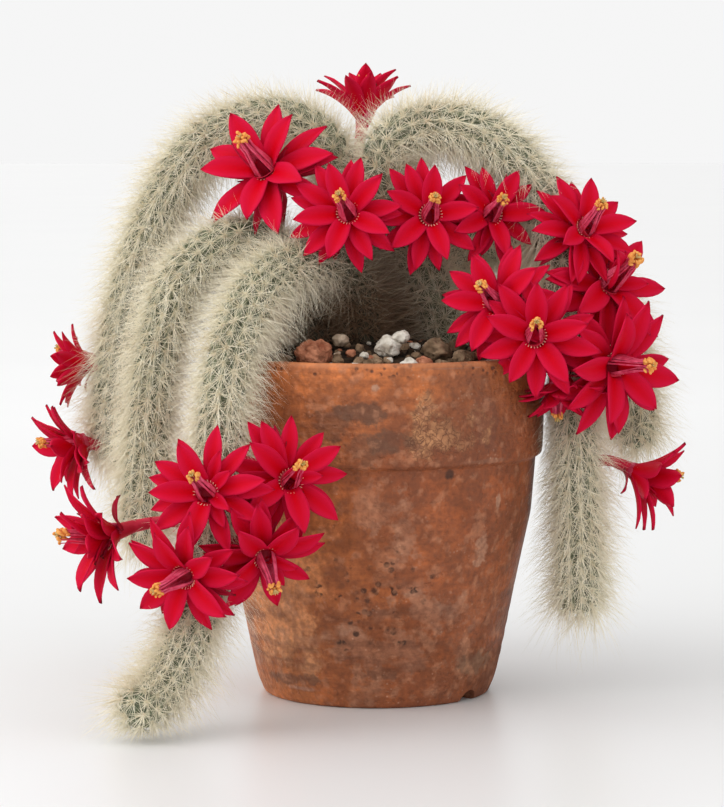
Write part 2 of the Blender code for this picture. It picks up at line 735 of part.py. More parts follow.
def make_bloom(name, bloom, seat_tree, shapes, trees, home):
    """The red body of one bloom: its tube, petals and bundle of filaments in one solid."""
    rng = random.Random(name)
    frame = bloom_frame(Vector(bloom.throat) * MM, Vector(bloom.facing), Vector(bloom.stamens))
    axis, throat = frame.col[0].to_3d(), frame.translation.copy()
    place, normal = seat_tree.find_nearest(Vector(bloom.seat) * MM)[:2]
    line = tube_line(place + normal * GAP, normal, throat, axis)
    shares = [radius / THROAT_RADIUS for radius in (SEAT_RADIUS, WAIST_RADIUS, WAIST_RADIUS, THROAT_RADIUS)]
    body = as_mesh(curve_object(name, line, shares, THROAT_RADIUS, 1, home), home)
    group = collection(name + "_parts")
    near = [tree for tree in trees if tree.find_nearest(throat, NEAR)[0] is not None]
    make_petals(frame, line, bloom, shapes, rng, near, group)
    column = filament_line(frame, bloom.size)
    widths = [radius * MM for _, _, radius in FILAMENTS]
    as_mesh(curve_object("filaments", column, widths, 1.0, 0, group), group)
    boolean(body, "UNION", group, "MANIFOLD")
    apply_modifiers(body)
    remove_collection(group)
    keep_main_body(body)
    return body


def filament_line(frame, size):
    """The filaments' centre line, which leaves the throat and curves to the stamens' side."""
    return [frame @ (Vector((along, aside, 0.0)) * MM * size) for along, aside, _ in FILAMENTS]


def make_anthers(name, bloom, home):
    """A lumpy cluster just past the end of the filaments."""
    rng = random.Random(name)
    frame = bloom_frame(Vector(bloom.throat) * MM, Vector(bloom.facing), Vector(bloom.stamens))
    column = filament_line(frame, bloom.size)
    way = (column[-1] - column[-2]).normalized()
    bm = bmesh.new()
    bmesh.ops.create_icosphere(bm, subdivisions=1, radius=ANTHER_RADIUS * bloom.size)
    for vert in list(bm.verts)[::2]:
        vert.co *= rng.uniform(0.62, 0.8)
    back = max(-vert.co.dot(way) for vert in bm.verts)
    bm.transform(Matrix.Translation(column[-1] + way * (back + GAP)))
    return mesh_object(name, bm, home)


def main():
    clear_scene()
    plant = collection("potted_monkey_tail_cactus")
    cutters = collection("cutters")
    holes = collection("holes")
    pot = make_pot(plant, cutters)
    root_cutters(holes)
    trees = [tree_of(pot), tree_of(make_soil(plant, holes)), tree_of(make_gravel(plant, holes))]

    green = material("stem_green")
    lines = {name: stem_line(route) for name, (_, route) in STEMS.items()}
    stems = {}
    for name, (radius, _) in STEMS.items():
        stems[name] = stem_body(name, lines[name], radius * MM, plant)
        stems[name].data.materials.append(green)
    bodies = {name: tree_of(stem) for name, stem in stems.items()}

    shapes = {
        "inner": petal_shape(INNER_PETAL, PETAL_STATIONS),
        "outer": petal_shape(OUTER_PETAL, PETAL_STATIONS),
        "sepal": petal_shape(SEPAL, SEPAL_STATIONS),
    }
    red = material("petal_red")
    yellow = material("anther_yellow")
    for name, bloom in BLOOMS.items():
        petals = make_bloom(name, bloom, bodies[bloom.stem], shapes, trees + list(bodies.values()), plant)
        petals.data.materials.clear()
        petals.data.materials.append(red)
        anthers = make_anthers(name.replace("bloom", "anthers"), bloom, plant)
        anthers.data.materials.append(yellow)
        trees += [tree_of(petals), tree_of(anthers)]

    for name, (radius, _) in STEMS.items():
        others = trees + [tree for other, tree in bodies.items() if other != name]
        add_bristles(stems[name], lines[name], radius * MM, others, random.Random(name))
        bodies[name] = tree_of(stems[name])

    axis = bpy.data.objects.new("pot_axis", None)
    plant.objects.link(axis)
    axis.location = POT_AXIS
    for obj in [*plant.objects, *cutters.objects, *holes.objects]:
        if obj.type == "MESH":
            obj.parent = axis


main()
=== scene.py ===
"""Looks of the potted monkey tail cactus.

Ribbed stems under bristles and hair, red blooms, gravel, and a weathered pot.

Metres, +Z up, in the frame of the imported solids. Places given in millimetres are measured from the pot's
axis at table level, as in the source of the solids.
"""

import math
import random
from typing import NamedTuple

import bmesh
import bpy
import numpy as np
from mathutils import Matrix, Vector, noise
from mathutils.bvhtree import BVHTree


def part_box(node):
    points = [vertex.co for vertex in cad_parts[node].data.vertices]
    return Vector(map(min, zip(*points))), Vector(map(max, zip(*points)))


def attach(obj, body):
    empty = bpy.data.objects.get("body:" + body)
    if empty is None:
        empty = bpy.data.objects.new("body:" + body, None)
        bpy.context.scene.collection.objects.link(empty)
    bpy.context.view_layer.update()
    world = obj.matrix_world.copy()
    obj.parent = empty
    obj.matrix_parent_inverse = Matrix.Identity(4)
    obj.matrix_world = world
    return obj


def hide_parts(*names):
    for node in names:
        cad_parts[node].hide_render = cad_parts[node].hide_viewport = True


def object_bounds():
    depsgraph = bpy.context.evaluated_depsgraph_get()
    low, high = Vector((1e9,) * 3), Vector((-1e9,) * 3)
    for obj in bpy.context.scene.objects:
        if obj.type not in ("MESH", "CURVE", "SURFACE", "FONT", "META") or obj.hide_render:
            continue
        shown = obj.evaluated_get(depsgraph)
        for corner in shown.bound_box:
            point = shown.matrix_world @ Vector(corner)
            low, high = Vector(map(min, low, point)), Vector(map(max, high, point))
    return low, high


MM = 0.001
# Points nearer than this are merged
MERGE = 0.00001
# Points on a smooth line between two given ones, before it is evened out
SPAN_STEPS = 12

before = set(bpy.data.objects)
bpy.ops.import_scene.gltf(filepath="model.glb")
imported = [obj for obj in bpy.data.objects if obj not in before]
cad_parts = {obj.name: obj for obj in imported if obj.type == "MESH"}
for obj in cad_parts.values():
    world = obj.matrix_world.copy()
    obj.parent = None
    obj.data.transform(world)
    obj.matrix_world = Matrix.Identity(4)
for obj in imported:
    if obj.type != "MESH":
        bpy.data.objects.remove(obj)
SOLID_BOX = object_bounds()
POT_LOW, POT_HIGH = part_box("pot")
HAIR_MARGIN = Vector((8.5, 7.5, 6.0)) * MM
OVER_TABLE = 0.3 * MM
HAIR_LOW = Vector(SOLID_BOX[0]) - HAIR_MARGIN
HAIR_LOW.z = OVER_TABLE
HAIR_HIGH = Vector(SOLID_BOX[1]) + HAIR_MARGIN
AXIS = Vector(((POT_LOW.x + POT_HIGH.x) / 2, (POT_LOW.y + POT_HIGH.y) / 2, 0.0))

# Pot
POT_HEIGHT = 162.5 * MM
RIM_RADIUS = 80.5 * MM
WALL = 7.0 * MM
FOOT_RADIUS = 53.0 * MM
FOOT_WIDTH = 11.0 * MM
NOTCH_ANGLE = math.radians(-38)
NOTCH_RADIUS = 5.5 * MM
NOTCH_SIDES = 20
POT_SIDES = 112
WALL_STEP = 4.0 * MM
# The section from the inner edge of the rim down the outside, under the foot and back up the inside:
# radius, height and roundness of each corner in millimetres
POT_SECTION = (
    (73.9, 162.3, 1.5), (79.3, 162.5, 1.5), (80.6, 158.8, 3.0), (79.6, 120.0, 4.0), (78.9, 115.0, 1.0),
    (76.0, 113.2, 1.0), (73.9, 87, 3.0), (66.4, 52, 3.0), (59.8, 20, 3.0), (57.0, 8, 3.0), (53.6, 0.0, 1.5),
    (42.0, 0.0, 1.5), (40.5, 4.0, 1.5), (8.0, 4.0, 1.0), (8.0, 9.0, 1.0), (46.0, 9.0, 3.0),
    (69.5, 113.0, 3.0), (73.5, 158.5, 2.0),
)
CORNER_STEPS = 4
MOST_ROUNDED = 0.45
SHARP_ANGLE = math.radians(42)
# Unevenness, with depths in millimetres. Throwing rings: turn for each millimetre of height, scale of the
# noise, depth. Slow wobble: scale, depth. Chips in the rim: scale, how rare, depth, reach under the rim
THROWING_RINGS = (0.9, 18.0, 0.25)
WALL_WOBBLE = (14.0, 0.55)
WOBBLE_SEED = Vector((3.0, 7.0, 1.0))
RIM_CHIPS = (160.0, 0.35, 2.2, 2.5 * MM)
CHIP_DROP = 0.6
FOOT_FLAT = 0.2 * MM
# Stains on the wall, and painted highlights near the foot and along the rim's top in the pale tint: X, Y and
# Z, half their width and height in millimetres, how ragged, how strong, tint
STAINS = (
    (-42, -46, 33, 21, 21, 1.0, 0.85, "tan"), (-58, -19, 29, 7, 13, 0.8, 0.7, "pale_and_highlight"),
    (-10, -65, 48, 15, 12, 0.9, 0.55, "orange"), (49, -62, 133, 12, 14, 1.0, 0.65, "purple"),
    (29, -73, 131, 21, 13, 1.1, 0.9, "ochre"), (42, -68, 151, 16, 8, 0.9, 0.55, "brown"),
    (-6, -79, 141, 15, 5.0, 0.8, 0.9, "smudge"), (-21, -76, 135, 13, 9, 1.1, 0.7, "smudge"),
    (7, -79, 128, 9, 6.5, 0.9, 0.85, "smudge"), (-5, -79, 124, 14, 7.5, 1.2, 0.65, "smudge"),
    (1, -75, 95, 12, 11, 1.5, 0.5, "dusty"), (13, -73, 87, 7, 16, 1.5, 0.55, "dusty"),
    (4, -71, 75, 11, 12, 1.5, 0.45, "dusty"), (49, -52, 76, 4, 9, 1.9, 0.45, "salt"),
    (56, -49, 95, 1.6, 5, 1.0, 0.6, "salt"), (26, -60, 46, 20, 8, 1.6, 0.7, "dusty"),
    (0, -62, 29, 23, 12, 1.7, 0.65, "dusty"), (45, -39, 19, 10, 6, 1.3, 0.75, "lichen"),
    (-39, -43, 12, 17, 3.6, 1.0, 0.8, "smudge"), (4, -59, 18, 8, 3.6, 1.1, 0.6, "smudge"),
    # The first on the next line is a painted highlight near the foot.
    (-35, -45, 8, 9, 1.5, 0.6, 0.8, "pale_and_highlight"), (47, -63, 116.5, 17, 1.3, 0.8, 0.75, "dusty"),
    (-50, -48, 62, 30, 40, 0.6, 0.7, "warm"),
    (33, -69, 111.3, 2.6, 3.2, 0.7, 1.0, "hole"), (-1, -80, 152, 2.2, 2.0, 1.0, 0.8, "salt"),
    # The first on the next line is a painted highlight along the rim's top.
    (34, -73, 159.9, 17, 0.55, 0.5, 0.5, "pale_and_highlight"), (-30, -74, 120, 14, 5, 1.3, 0.5, "smudge"),
)
CLAY_TINTS = {
    # The pale tint on the next line serves pale patches and painted highlights.
    "tan": (0.72, 0.33, 0.15), "pale_and_highlight": (0.66, 0.36, 0.24), "orange": (0.36, 0.105, 0.032),
    "purple": (0.155, 0.062, 0.040), "ochre": (0.62, 0.30, 0.135), "brown": (0.20, 0.068, 0.030),
    "smudge": (0.150, 0.068, 0.038), "dusty": (0.45, 0.210, 0.122), "warm": (0.86, 0.34, 0.13),
    "salt": (0.60, 0.36, 0.24), "lichen": (0.42, 0.31, 0.20), "hole": (0.022, 0.012, 0.008),
    # The third tint on the next line is painted light, coated on the left of the wall.
    "deep": (0.36, 0.094, 0.029), "fired": (0.50, 0.140, 0.043), "lit_left": (0.80, 0.27, 0.078),
    "collar": (0.84, 0.250, 0.066), "turned": (0.20, 0.062, 0.028), "crack": (0.12, 0.04, 0.018),
    # The second and third tints on the next line are painted shade.
    "flake": (0.25, 0.085, 0.038), "low": (0.17, 0.050, 0.021), "ledge_shade": (0.20, 0.060, 0.025),
    "streak": (0.13, 0.048, 0.026), "grain": (0.70, 0.42, 0.28), "soot": (0.035, 0.016, 0.010),
    "cloud": (0.15, 0.046, 0.020), "powder": (0.58, 0.26, 0.14), "fleck": (0.11, 0.036, 0.018),
    "pit": (0.08, 0.028, 0.016), "lip": (0.55, 0.22, 0.10),
}
# Parts of the wall where a coat shows: the axis, and where on it in millimetres the coat starts and is full
WALL_BANDS = {
    "left": ("X", 18, -45), "past_left": ("X", -75, -20), "right": ("X", -30, 30),
    "far_right": ("X", 12, 50), "behind": ("Y", -50, -20), "collar": ("Z", 128, 158),
    "rim": ("Z", 155.5, 157.5), "lip": ("Z", 160.0, 161.2), "ledge_shade": ("Z", 105, 118),
    "lower": ("Z", 105, 30), "low": ("Z", 52, 36), "under_belt": ("Z", 60, 48), "over_foot": ("Z", 10, 22),
}
# Where a stain starts to fade and ends, as shares of its size from its middle, and how far noise tears it
STAIN_MIDDLE = 0.55
STAIN_EDGE = 1.15
TEAR_REACH = 2.0
CRACK_BEND = 0.012
CRACK_BEND_SCALE = 170.0
# Patches of flaked slip and of soot: middle, half their width and height in millimetres, and how ragged
FLAKED_PATCH = ((30, -73, 129), 22, 15, 0.9)
SOOT_PATCH = ((-3, -66, 52), 24, 24, 1.0)

# Gravel
BED_EDGE = 156.5 * MM
BED_RISE = 12.0 * MM
BED_BOTTOM = 152.4 * MM
BED_GAP = 1.0 * MM
BED_RINGS = 12
BED_SIDES = 72
# Bumps of the bed: scale of the noise, height, and how far it is sunk
BED_BUMPS = (220.0, 1.3 * MM, 1.2 * MM)
# Stones that stand out: X, Y and radius in millimetres, how many radii their middle is over the bed, kind
STONES = (
    (5, -45, 5.6, 0.75, "pumice"), (11, -43, 4.6, 1.75, "pumice"), (-29, -50, 7.2, 0.6, "lava"),
    (-17, -30, 4.2, 1.0, "tan"), (28, -40, 7.4, 0.35, "brown"), (40, -46, 5.6, 0.4, "brown"),
    (22, -60, 4.2, 0.45, "lava"), (-4, -62, 3.4, 0.2, "brown"), (-50, -14, 5.5, 0.5, "tan"),
    (60, -14, 5.0, 0.4, "pumice"), (48, 42, 6.0, 0.4, "lava"), (-60, 22, 5.5, 0.4, "brown"),
    (26, 58, 5.0, 0.4, "pumice"), (-21, -66, 3.9, 0.3, "pumice"), (-10, -68, 3.7, 0.3, "pumice"),
    (15, -65, 4.4, 0.5, "pumice"), (19, -69, 2.8, 0.4, "pumice"), (8, -68, 1.8, 0.4, "pumice"),
    (0, -60, 2.6, 0.4, "brown"), (-12, -50, 2.8, 0.9, "lava"), (-6, -52, 2.1, 0.9, "pumice"),
    (-18, -56, 2.6, 0.5, "brown"), (-8, -60, 2.8, 0.5, "brown"), (-41, -4, 5.0, 0.9, "tan"),
    (-44, -44, 4.6, 0.3, "brown"), (54, -46, 4.6, 0.4, "pumice"), (46, -40, 2.8, 0.9, "lava"),
    (33, -64, 2.4, 0.3, "pumice"), (23, -28, 1.7, 0.8, "pumice"), (-18, 16, 4.6, 0.3, "brown"),
    (-9, 34, 3.4, 0.4, "tan"), (26, 20, 5.0, 0.3, "tan"), (38, -14, 4.6, 0.3, "brown"),
    (-32, -22, 3.8, 0.5, "brown"), (2, -33, 2.4, 0.4, "brown"), (-8, -36, 2.6, 0.4, "brown"),
)
GRIT_COUNT = 420
GRIT_RADII = (1.0 * MM, 2.8 * MM)
GRIT_MARGIN = 3.0 * MM
GRIT_SINK = 0.6 * MM
STONE_KINDS = ("pumice", "tan", "brown", "lava", "grit")
GRIT_SHARES = (0.7, 1.2, 4, 0.8, 6)
GRAVEL_SEED = 11
LARGE_STONE = 5.0
LARGE_DETAIL = 4
STONE_DETAIL = 3
GRIT_DETAIL = 2
STONE_SQUASH = ((0.85, 1.25), (0.8, 1.0), (0.68, 0.9))
STONE_TILT = 0.5
STONE_SEEDS = 9
# Lumps: scale of the noise and height. Pits: scale, how rare, and depth. Both are shares of the radius
STONE_LUMPS = ((1.2, 0.24), (2.6, 0.16), (11.0, 0.05))
STONE_PITS = (6.0, 0.08, 0.42)

# Stems
AREOLE_STEP = 6.6 * MM
RIBS = 12
SIDES_PER_RIB = 4
RIB_DEPTH = 0.05
AREOLE_BEAD = 0.03
AREOLE_DIP = 0.02
SOIL_TOP = 152.0 * MM
ROOT_DEPTH = 12.0 * MM
ROOT_SHARE = 0.86
ROOT_LENGTH = 30.0 * MM
SWELL_LENGTH = 60.0 * MM
TIP_TAPER = 0.10
TIP_DOME = 9.0 * MM
# The hollow between the stems over the soil, where shade is painted on skin and hair: its middle in
# millimetres, the distances from there at which it starts and is full, and the same for its heights
HOLLOW_MIDDLE = (-12, 18, 0)
HOLLOW_INWARD = (58.0 * MM, 30.0 * MM)
HOLLOW_DOWNWARD = (250.0 * MM, 185.0 * MM)
# Routes from the soil to the tip, in millimetres, with each stem's radius
STEMS = {
    "stem_left_arch": (10.3, (
        (-8, 30, 165), (-10, 30, 200), (-15, 31, 231), (-21, 32, 254), (-33, 34, 268), (-50, 35, 273),
        (-69, 35, 269), (-87, 34, 258), (-100, 33, 240), (-109, 32, 221), (-116, 31, 201),
        (-121, 30, 180), (-125, 29, 160), (-128, 28, 140), (-129, 27, 122), (-128, 26, 106),
    )),
    "stem_left": (10.3, (
        (-30, 5, 165), (-35, 4, 190), (-46, 2, 208), (-62, -4, 216), (-80, -10, 210), (-94, -15, 194),
        (-101, -20, 172), (-105, -24, 150), (-107, -27, 125), (-109, -30, 100), (-110, -32, 72),
    )),
    "stem_front_left": (10.3, (
        (-7, 4, 165), (-8, 2, 184), (-13, -4, 198), (-24, -13, 206), (-39, -26, 205), (-53, -41, 196),
        (-62, -57, 180), (-68, -69, 160), (-71, -77, 136), (-73, -84, 112), (-75, -91, 85),
        (-79, -99, 60), (-86, -109, 38), (-97, -122, 20), (-110, -137, 12.0),
    )),
    "stem_right_arch": (10.4, (
        (33, 10, 165), (27, 8, 190), (17, 6, 212), (7, 5, 235), (3, 6, 249), (6, 6, 260),
        (17, 5, 268), (33, 3, 270), (49, 1, 266), (62, -1, 257), (74, -3, 243), (82, -6, 225),
        (88, -9, 200), (92, -12, 172), (94, -14, 140), (95, -15, 105), (96, -16, 70), (96.5, -16, 38),
    )),
    "stem_right_back": (10.1, (
        (20, 38, 165), (23, 39, 190), (36, 40, 207), (56, 40, 214), (80, 40, 211), (100, 39, 199),
        (114, 38, 181), (122, 37, 160), (126, 36, 138), (127, 35, 112),
    )),
    "stem_back": (10.1, (
        (2, 55, 165), (1, 55, 195), (-2, 56, 220), (-6, 60, 236), (-9, 68, 243), (-12, 80, 239),
        (-15, 92, 225), (-17, 102, 204), (-18, 106, 180), (-18, 106, 152), (-17, 104, 125),
        (-16, 101, 96),
    )),
    "stem_back_left": (9.9, (
        (-33, 34, 165), (-36, 40, 184), (-42, 51, 196), (-49, 66, 198), (-55, 80, 187),
        (-59, 90, 166), (-61, 94, 140), (-61, 96, 115), (-61, 97, 88),
    )),
}

# Tufts: one at each areole, of the kinds below. Count, shortest and longest, least and most slant from the
# skin in degrees, and root radius
TUFT_KINDS = 8
RADIAL_BRISTLES = (17, 4.5 * MM, 8.5 * MM, 5, 32, 0.15 * MM)
CENTRAL_BRISTLES = (11, 8.0 * MM, 15.0 * MM, 22, 85, 0.19 * MM)
LONG_HAIRS = (14, 14.0 * MM, 23.0 * MM, 20, 85, 0.13 * MM)
TUFT_PARTS = (RADIAL_BRISTLES, CENTRAL_BRISTLES, LONG_HAIRS)
ROOT_SPREAD = 0.8 * MM
CUSHION_RADIUS = 1.15 * MM
CUSHION_HEIGHT = 1.0 * MM
CUSHION_SINK = 0.3
CUSHION_SIDES = 5
TURN_STRAY = 0.9
TUFT_SIZES = (0.85, 1.15)
TUFT_LEAN = 0.5
TUFT_SAG = 9.0
TUFT_REACH = 26.0 * MM
# A needle with something in its way keeps this share of its clear length, and at least the second of all
CLEAR_USED = 0.92
SHORTEST_NEEDLE = 0.06
ROOT_SKIP = 1.0 * MM
# Where the dome of a tip is narrower than this, only one rib in so many has tufts
DOME_TOP = 4.0 * MM
DOME_TOP_RIBS = 3
# Material slots of a piece of bristles
CREAM, WOOL, GREY = range(3)


class Bloom(NamedTuple):
    """Where a bloom grows and how it is turned. Its places are in millimetres."""

    stem: str
    seat: tuple
    throat: tuple
    facing: tuple
    stamens: tuple
    size: float
    opening: float


BLOOMS = {
    "bloom_top": Bloom(
        "stem_back", (-8, 56, 256), (-6, 60, 275),
        (0.05, 0.25, 0.97), (0.0, -1.0, 0.0), 1.12, -38),
    "bloom_upper_left": Bloom(
        "stem_left", (-46, 0, 224), (-52, -8, 249),
        (-0.42, -0.8, 0.42), (-0.5, 0.0, 0.9), 1.28, 0),
    "bloom_row_left": Bloom(
        "stem_front_left", (-22, -15, 222), (-13, -32, 229),
        (-0.12, -0.97, 0.2), (-0.4, 0.0, 0.9), 1.0, 0),
    "bloom_row_middle": Bloom(
        "stem_right_arch", (14, -6, 226), (25, -25, 228),
        (0.05, -0.98, 0.15), (0.2, 0.0, 1.0), 1.0, 0),
    "bloom_row_right": Bloom(
        "stem_right_arch", (68, -5, 233), (53, -17, 228),
        (0.2, -0.95, 0.15), (0.4, 0.0, 0.9), 0.98, 0),
    "bloom_right_front": Bloom(
        "stem_right_arch", (90, -26, 165), (72, -57, 174),
        (0.0, -1.0, 0.0), (0.0, 0.0, 1.0), 1.06, 0),
    "bloom_right_inner": Bloom(
        "stem_right_arch", (80, -22, 180), (55, -50, 188),
        (-0.3, -0.93, 0.2), (-0.4, 0.0, 0.9), 1.04, 0),
    "bloom_right_upper": Bloom(
        "stem_right_arch", (84, -18, 212), (97, -24, 221),
        (0.4, -0.8, 0.45), (0.3, 0.0, 1.0), 1.0, 0),
    "bloom_right_side": Bloom(
        "stem_right_arch", (98, -18, 188), (108, -26, 196),
        (0.5, -0.82, 0.28), (0.4, 0.0, 0.9), 1.24, 0),
    "bloom_right_lower": Bloom(
        "stem_right_arch", (100, -24, 150), (109, -42, 160),
        (0.5, -0.84, -0.15), (0.7, 0.0, 0.3), 1.24, 0),
    "bloom_under_front": Bloom(
        "stem_right_arch", (92, -28, 158), (84, -42, 151),
        (0.0, -0.25, -0.95), (0.0, 1.0, 0.0), 0.88, -22),
    "bloom_right_far": Bloom(
        "stem_right_arch", (106, -14, 112), (123, -15, 106),
        (0.88, -0.28, -0.38), (0.9, 0.0, 0.3), 1.12, -36),
    "bloom_left_high": Bloom(
        "stem_left_arch", (-134, 28, 152), (-140, 34, 156),
        (-0.93, 0.2, 0.0), (-0.3, 0.0, 0.9), 0.88, -30),
    "bloom_left_far": Bloom(
        "stem_left_arch", (-136, 18, 116), (-143, 10, 118),
        (-0.85, -0.4, -0.3), (-0.3, 0.0, 0.9), 1.04, -22),
    "bloom_low_centre": Bloom(
        "stem_front_left", (-75, -98, 112), (-75, -118, 108),
        (-0.18, -0.96, 0.2), (-0.4, 0.0, 0.9), 1.04, 0),
    "bloom_low_front": Bloom(
        "stem_front_left", (-80, -104, 72), (-84, -124, 73),
        (-0.4, -0.86, -0.3), (-0.7, 0.0, -0.1), 1.04, 0),
    "bloom_low_under": Bloom(
        "stem_front_left", (-68, -96, 84), (-50, -112, 80),
        (0.25, -0.85, -0.42), (0.1, 0.0, -0.9), 1.04, 0),
    "bloom_low_right": Bloom(
        "stem_front_left", (-62, -88, 120), (-39, -104, 112),
        (0.2, -0.96, 0.15), (0.3, 0.0, 0.9), 1.04, 0),
    "bloom_low_left": Bloom(
        "stem_front_left", (-84, -92, 92), (-120, -95, 87),
        (-0.84, -0.5, -0.2), (-0.9, 0.0, 0.2), 1.25, -28),
}
STUB = 2.0 * MM
TUBE_BEND = 0.15
PETALS_PER_WHORL = 5
SEPALS = 3
BRACTS = 6
BACK_PETALS = 9
INNER_WHORL = (1.5 * MM, 0.0)
OUTER_WHORL = (3.2 * MM, math.pi / PETALS_PER_WHORL)
BACK_WHORL = (5.0 * MM, 0.9)
SEPAL_WHORL = (7.0 * MM, 0.4)
BRACT_WHORL = (10.0 * MM, 0.1)
PETAL_ROOT = 1.4 * MM
LIFTS = (0, 8, -8, 16, -16, 24, -24, 32, -32, 40, -40, 48, -48)
SHRINKS = (1.0, 0.8, 0.62)
# Shares of a petal's length at which its fit to the solid, and its freedom, are measured
FIT_SHARES = (0.45, 0.7, 0.92)
FREE_SHARES = (0.3, 0.5, 0.7, 0.85, 1.0)
CLEARLY_NEARER = 0.05 * MM
AZIMUTH_STRAY = 0.12
TILT_STRAY = 5
PETAL_SIZES = (0.94, 1.04)
# A petal with no solid this near it was left out of the solids, and is left out here
STRAY = 2.2 * MM
CLEARANCE = 2.5 * MM


class Blade(NamedTuple):
    """A kind of petal. Angles are measured from the bloom's axis, in degrees."""

    length: float
    half_width: float
    root_angle: float
    tip_angle: float
    waist: float  # width at the root, as a share of the widest
    widest: float  # share of the length at which it is widest
    cup: float  # rise of its edges, as a share of half its width
    thick: float
    start: float  # share of the length at which it begins to show


INNER_PETAL = Blade(25.5 * MM, 4.8 * MM, 45, 82, 0.50, 0.55, 0.30, 0.5 * MM, 0.17)
OUTER_PETAL = Blade(27.5 * MM, 4.5 * MM, 62, 98, 0.40, 0.56, 0.26, 0.5 * MM, 0.09)
BACK_PETAL = Blade(27.0 * MM, 4.0 * MM, 68, 104, 0.45, 0.55, 0.26, 0.5 * MM, 0.09)
SEPAL = Blade(22.0 * MM, 2.4 * MM, 80, 125, 0.60, 0.45, 0.10, 0.6 * MM, 0.09)
BRACT = Blade(15.0 * MM, 1.4 * MM, 30, 80, 0.70, 0.35, 0.10, 0.5 * MM, 0.0)
BLADE_ACROSS = 6
BLADE_ALONG = 9
BLADE_FORMS = 4
BEND_STEPS = 24
POINT_POWER = 1.9
PETAL_CURL = (-0.6, 1.2)
PETAL_TWIST = 0.25
PETAL_FOLD = 0.35 * MM
PETAL_WAVES = 9
WAVE_SHIFT = 6
WHORLS = (
    (INNER_PETAL, INNER_WHORL, PETALS_PER_WHORL),
    (OUTER_PETAL, OUTER_WHORL, PETALS_PER_WHORL),
    (SEPAL, SEPAL_WHORL, SEPALS),
    (BACK_PETAL, BACK_WHORL, BACK_PETALS),
    (BRACT, BRACT_WHORL, BRACTS),
)

# The floral tube, from its seat up to the lip and down inside: millimetres behind the throat, and radius
TUBE_OUTSIDE = ((1.0, 3.0), (0.8, 2.7), (0.55, 2.6), (0.3, 2.9), (0.12, 3.7), (0.0, 4.4))
TUBE_INSIDE = ((1.5, 5.1), (1.7, 4.7), (1.2, 4.3), (0.0, 3.9), (-1.8, 3.2), (-2.8, 1.6), (-3.2, 0.0))
TUBE_SIDES = 14
TUBE_STEP = 1.5 * MM
TUBE_SINK = 0.6
# Wider than this, the inside grows with the bloom
TUBE_THROAT = 3.0
TEETH = 24
TOOTH_LENGTH = 2.4 * MM
TOOTH_RADIUS = 0.42 * MM
TOOTH_TAPER = 0.4
TOOTH_MIDDLE = 0.4
TOOTH_PLACE = (1.7 * MM, 4.5 * MM)
TOOTH_LEAN = math.radians(28)
# Hairs on the tube: how many, the share of its length where they begin and that they cover, how far their
# roots are from its middle, their radius, length in millimetres, slant and stray
TUBE_HAIRS = 22
TUBE_HAIRS_FROM = 0.15
TUBE_HAIRS_SPAN = 0.6
TUBE_HAIR_ROOT = 2.4 * MM
TUBE_HAIR_RADIUS = 0.15 * MM
TUBE_HAIR_LENGTHS = (5.0, 9.0)
TUBE_HAIR_SLANTS = (0.3, 1.4)
TUBE_HAIR_STRAY = 0.4
GOLDEN_ANGLE = math.radians(137.508)
FILAMENT_COUNT = 28
FILAMENT_SIDES = 4
FILAMENT_FAN = math.radians(140)
FILAMENT_LONGER = (-1.6, 1.2)
FILAMENT_STRAY = 0.9
# A filament's way: millimetres along the axis and to the stamens' side, spread about that, and radius
FILAMENT_WAY = (
    (-3.0, 0.0, 3.2, 0.5), (2.0, 0.3, 3.9, 0.5), (7.5, 2.2, 2.8, 0.48), (12.5, 4.0, 1.8, 0.38),
    (16.5, 5.6, 1.8, 0.3),
)
ANTHER_SIZE = (0.62 * MM, 0.62 * MM, 1.15 * MM)
ANTHER_SIZES = (0.85, 1.2)
ANTHER_AHEAD = 0.5 * MM
ANTHER_STRAY = 0.9
STIGMA_LOBES = 6
STIGMA_AHEAD = 1.0 * MM
STIGMA_SPREAD = 0.5
LOBE_RADII = (0.4 * MM, 0.22 * MM)
LOBE_LENGTH = 2.6 * MM
# Material slots of a bloom's petals and of its anthers
PETAL_RED, SEPAL_RED, TUBE_RED, FILAMENT_PINK, LIP_PINK, TUBE_HAIR = range(6)
ANTHER_YELLOW, STIGMA_GREEN = range(2)

# The floor, and the light that its far part gives off, so that it meets the sky without an edge
FLOOR_RADIUS = 30.0
FAR_GLOW = (0.102, 0.102, 0.102)
GLOW_REACH = (0.15, 1.6)

# Sky: how bright it is where it is seen, as light on its dim and bright sides, and the way to the bright one
SKY_SEEN = 0.92
SKY_DIM = 0.37
SKY_BRIGHT = 1.40
SKY_BRIGHT_WAY = (-0.88, -0.22, 0.42)
# Lights: place, size and power, and the point that they are turned to
LIGHTS = (
    ("window", (-1.8, -0.7, 1.65), 1.8, 17.5),
    ("fill", (1.8, -1.3, 0.9), 1.6, 7.0),
)
LIGHT_AIM = Vector((0, 0, 0.12))

# Camera: where it stands from the pot's axis, how far it looks down, and its lens
CAMERA_PLACE = Vector((-0.0069, -1.470, 0.2646))
CAMERA_DOWN = math.radians(4.935)
LENS = 137.7
FILM_HEIGHT = 36.0


def link(obj):
    """Puts the object in the scene."""
    bpy.context.scene.collection.objects.link(obj)
    return obj


def mesh_object(name, bm, materials):
    """An object in the scene, made from the bmesh, which it frees."""
    mesh = bpy.data.meshes.new(name)
    bm.to_mesh(mesh)
    bm.free()
    for material in materials:
        mesh.materials.append(material)
    return link(bpy.data.objects.new(name, mesh))


def finish_piece(piece, node):
    """Hands the piece to the frame in place of its solid node."""
    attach(piece, "root")
    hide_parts(node)


def from_axis(point):
    """A place in the frame, from millimetres off the pot's axis."""
    return AXIS + Vector(point) * MM


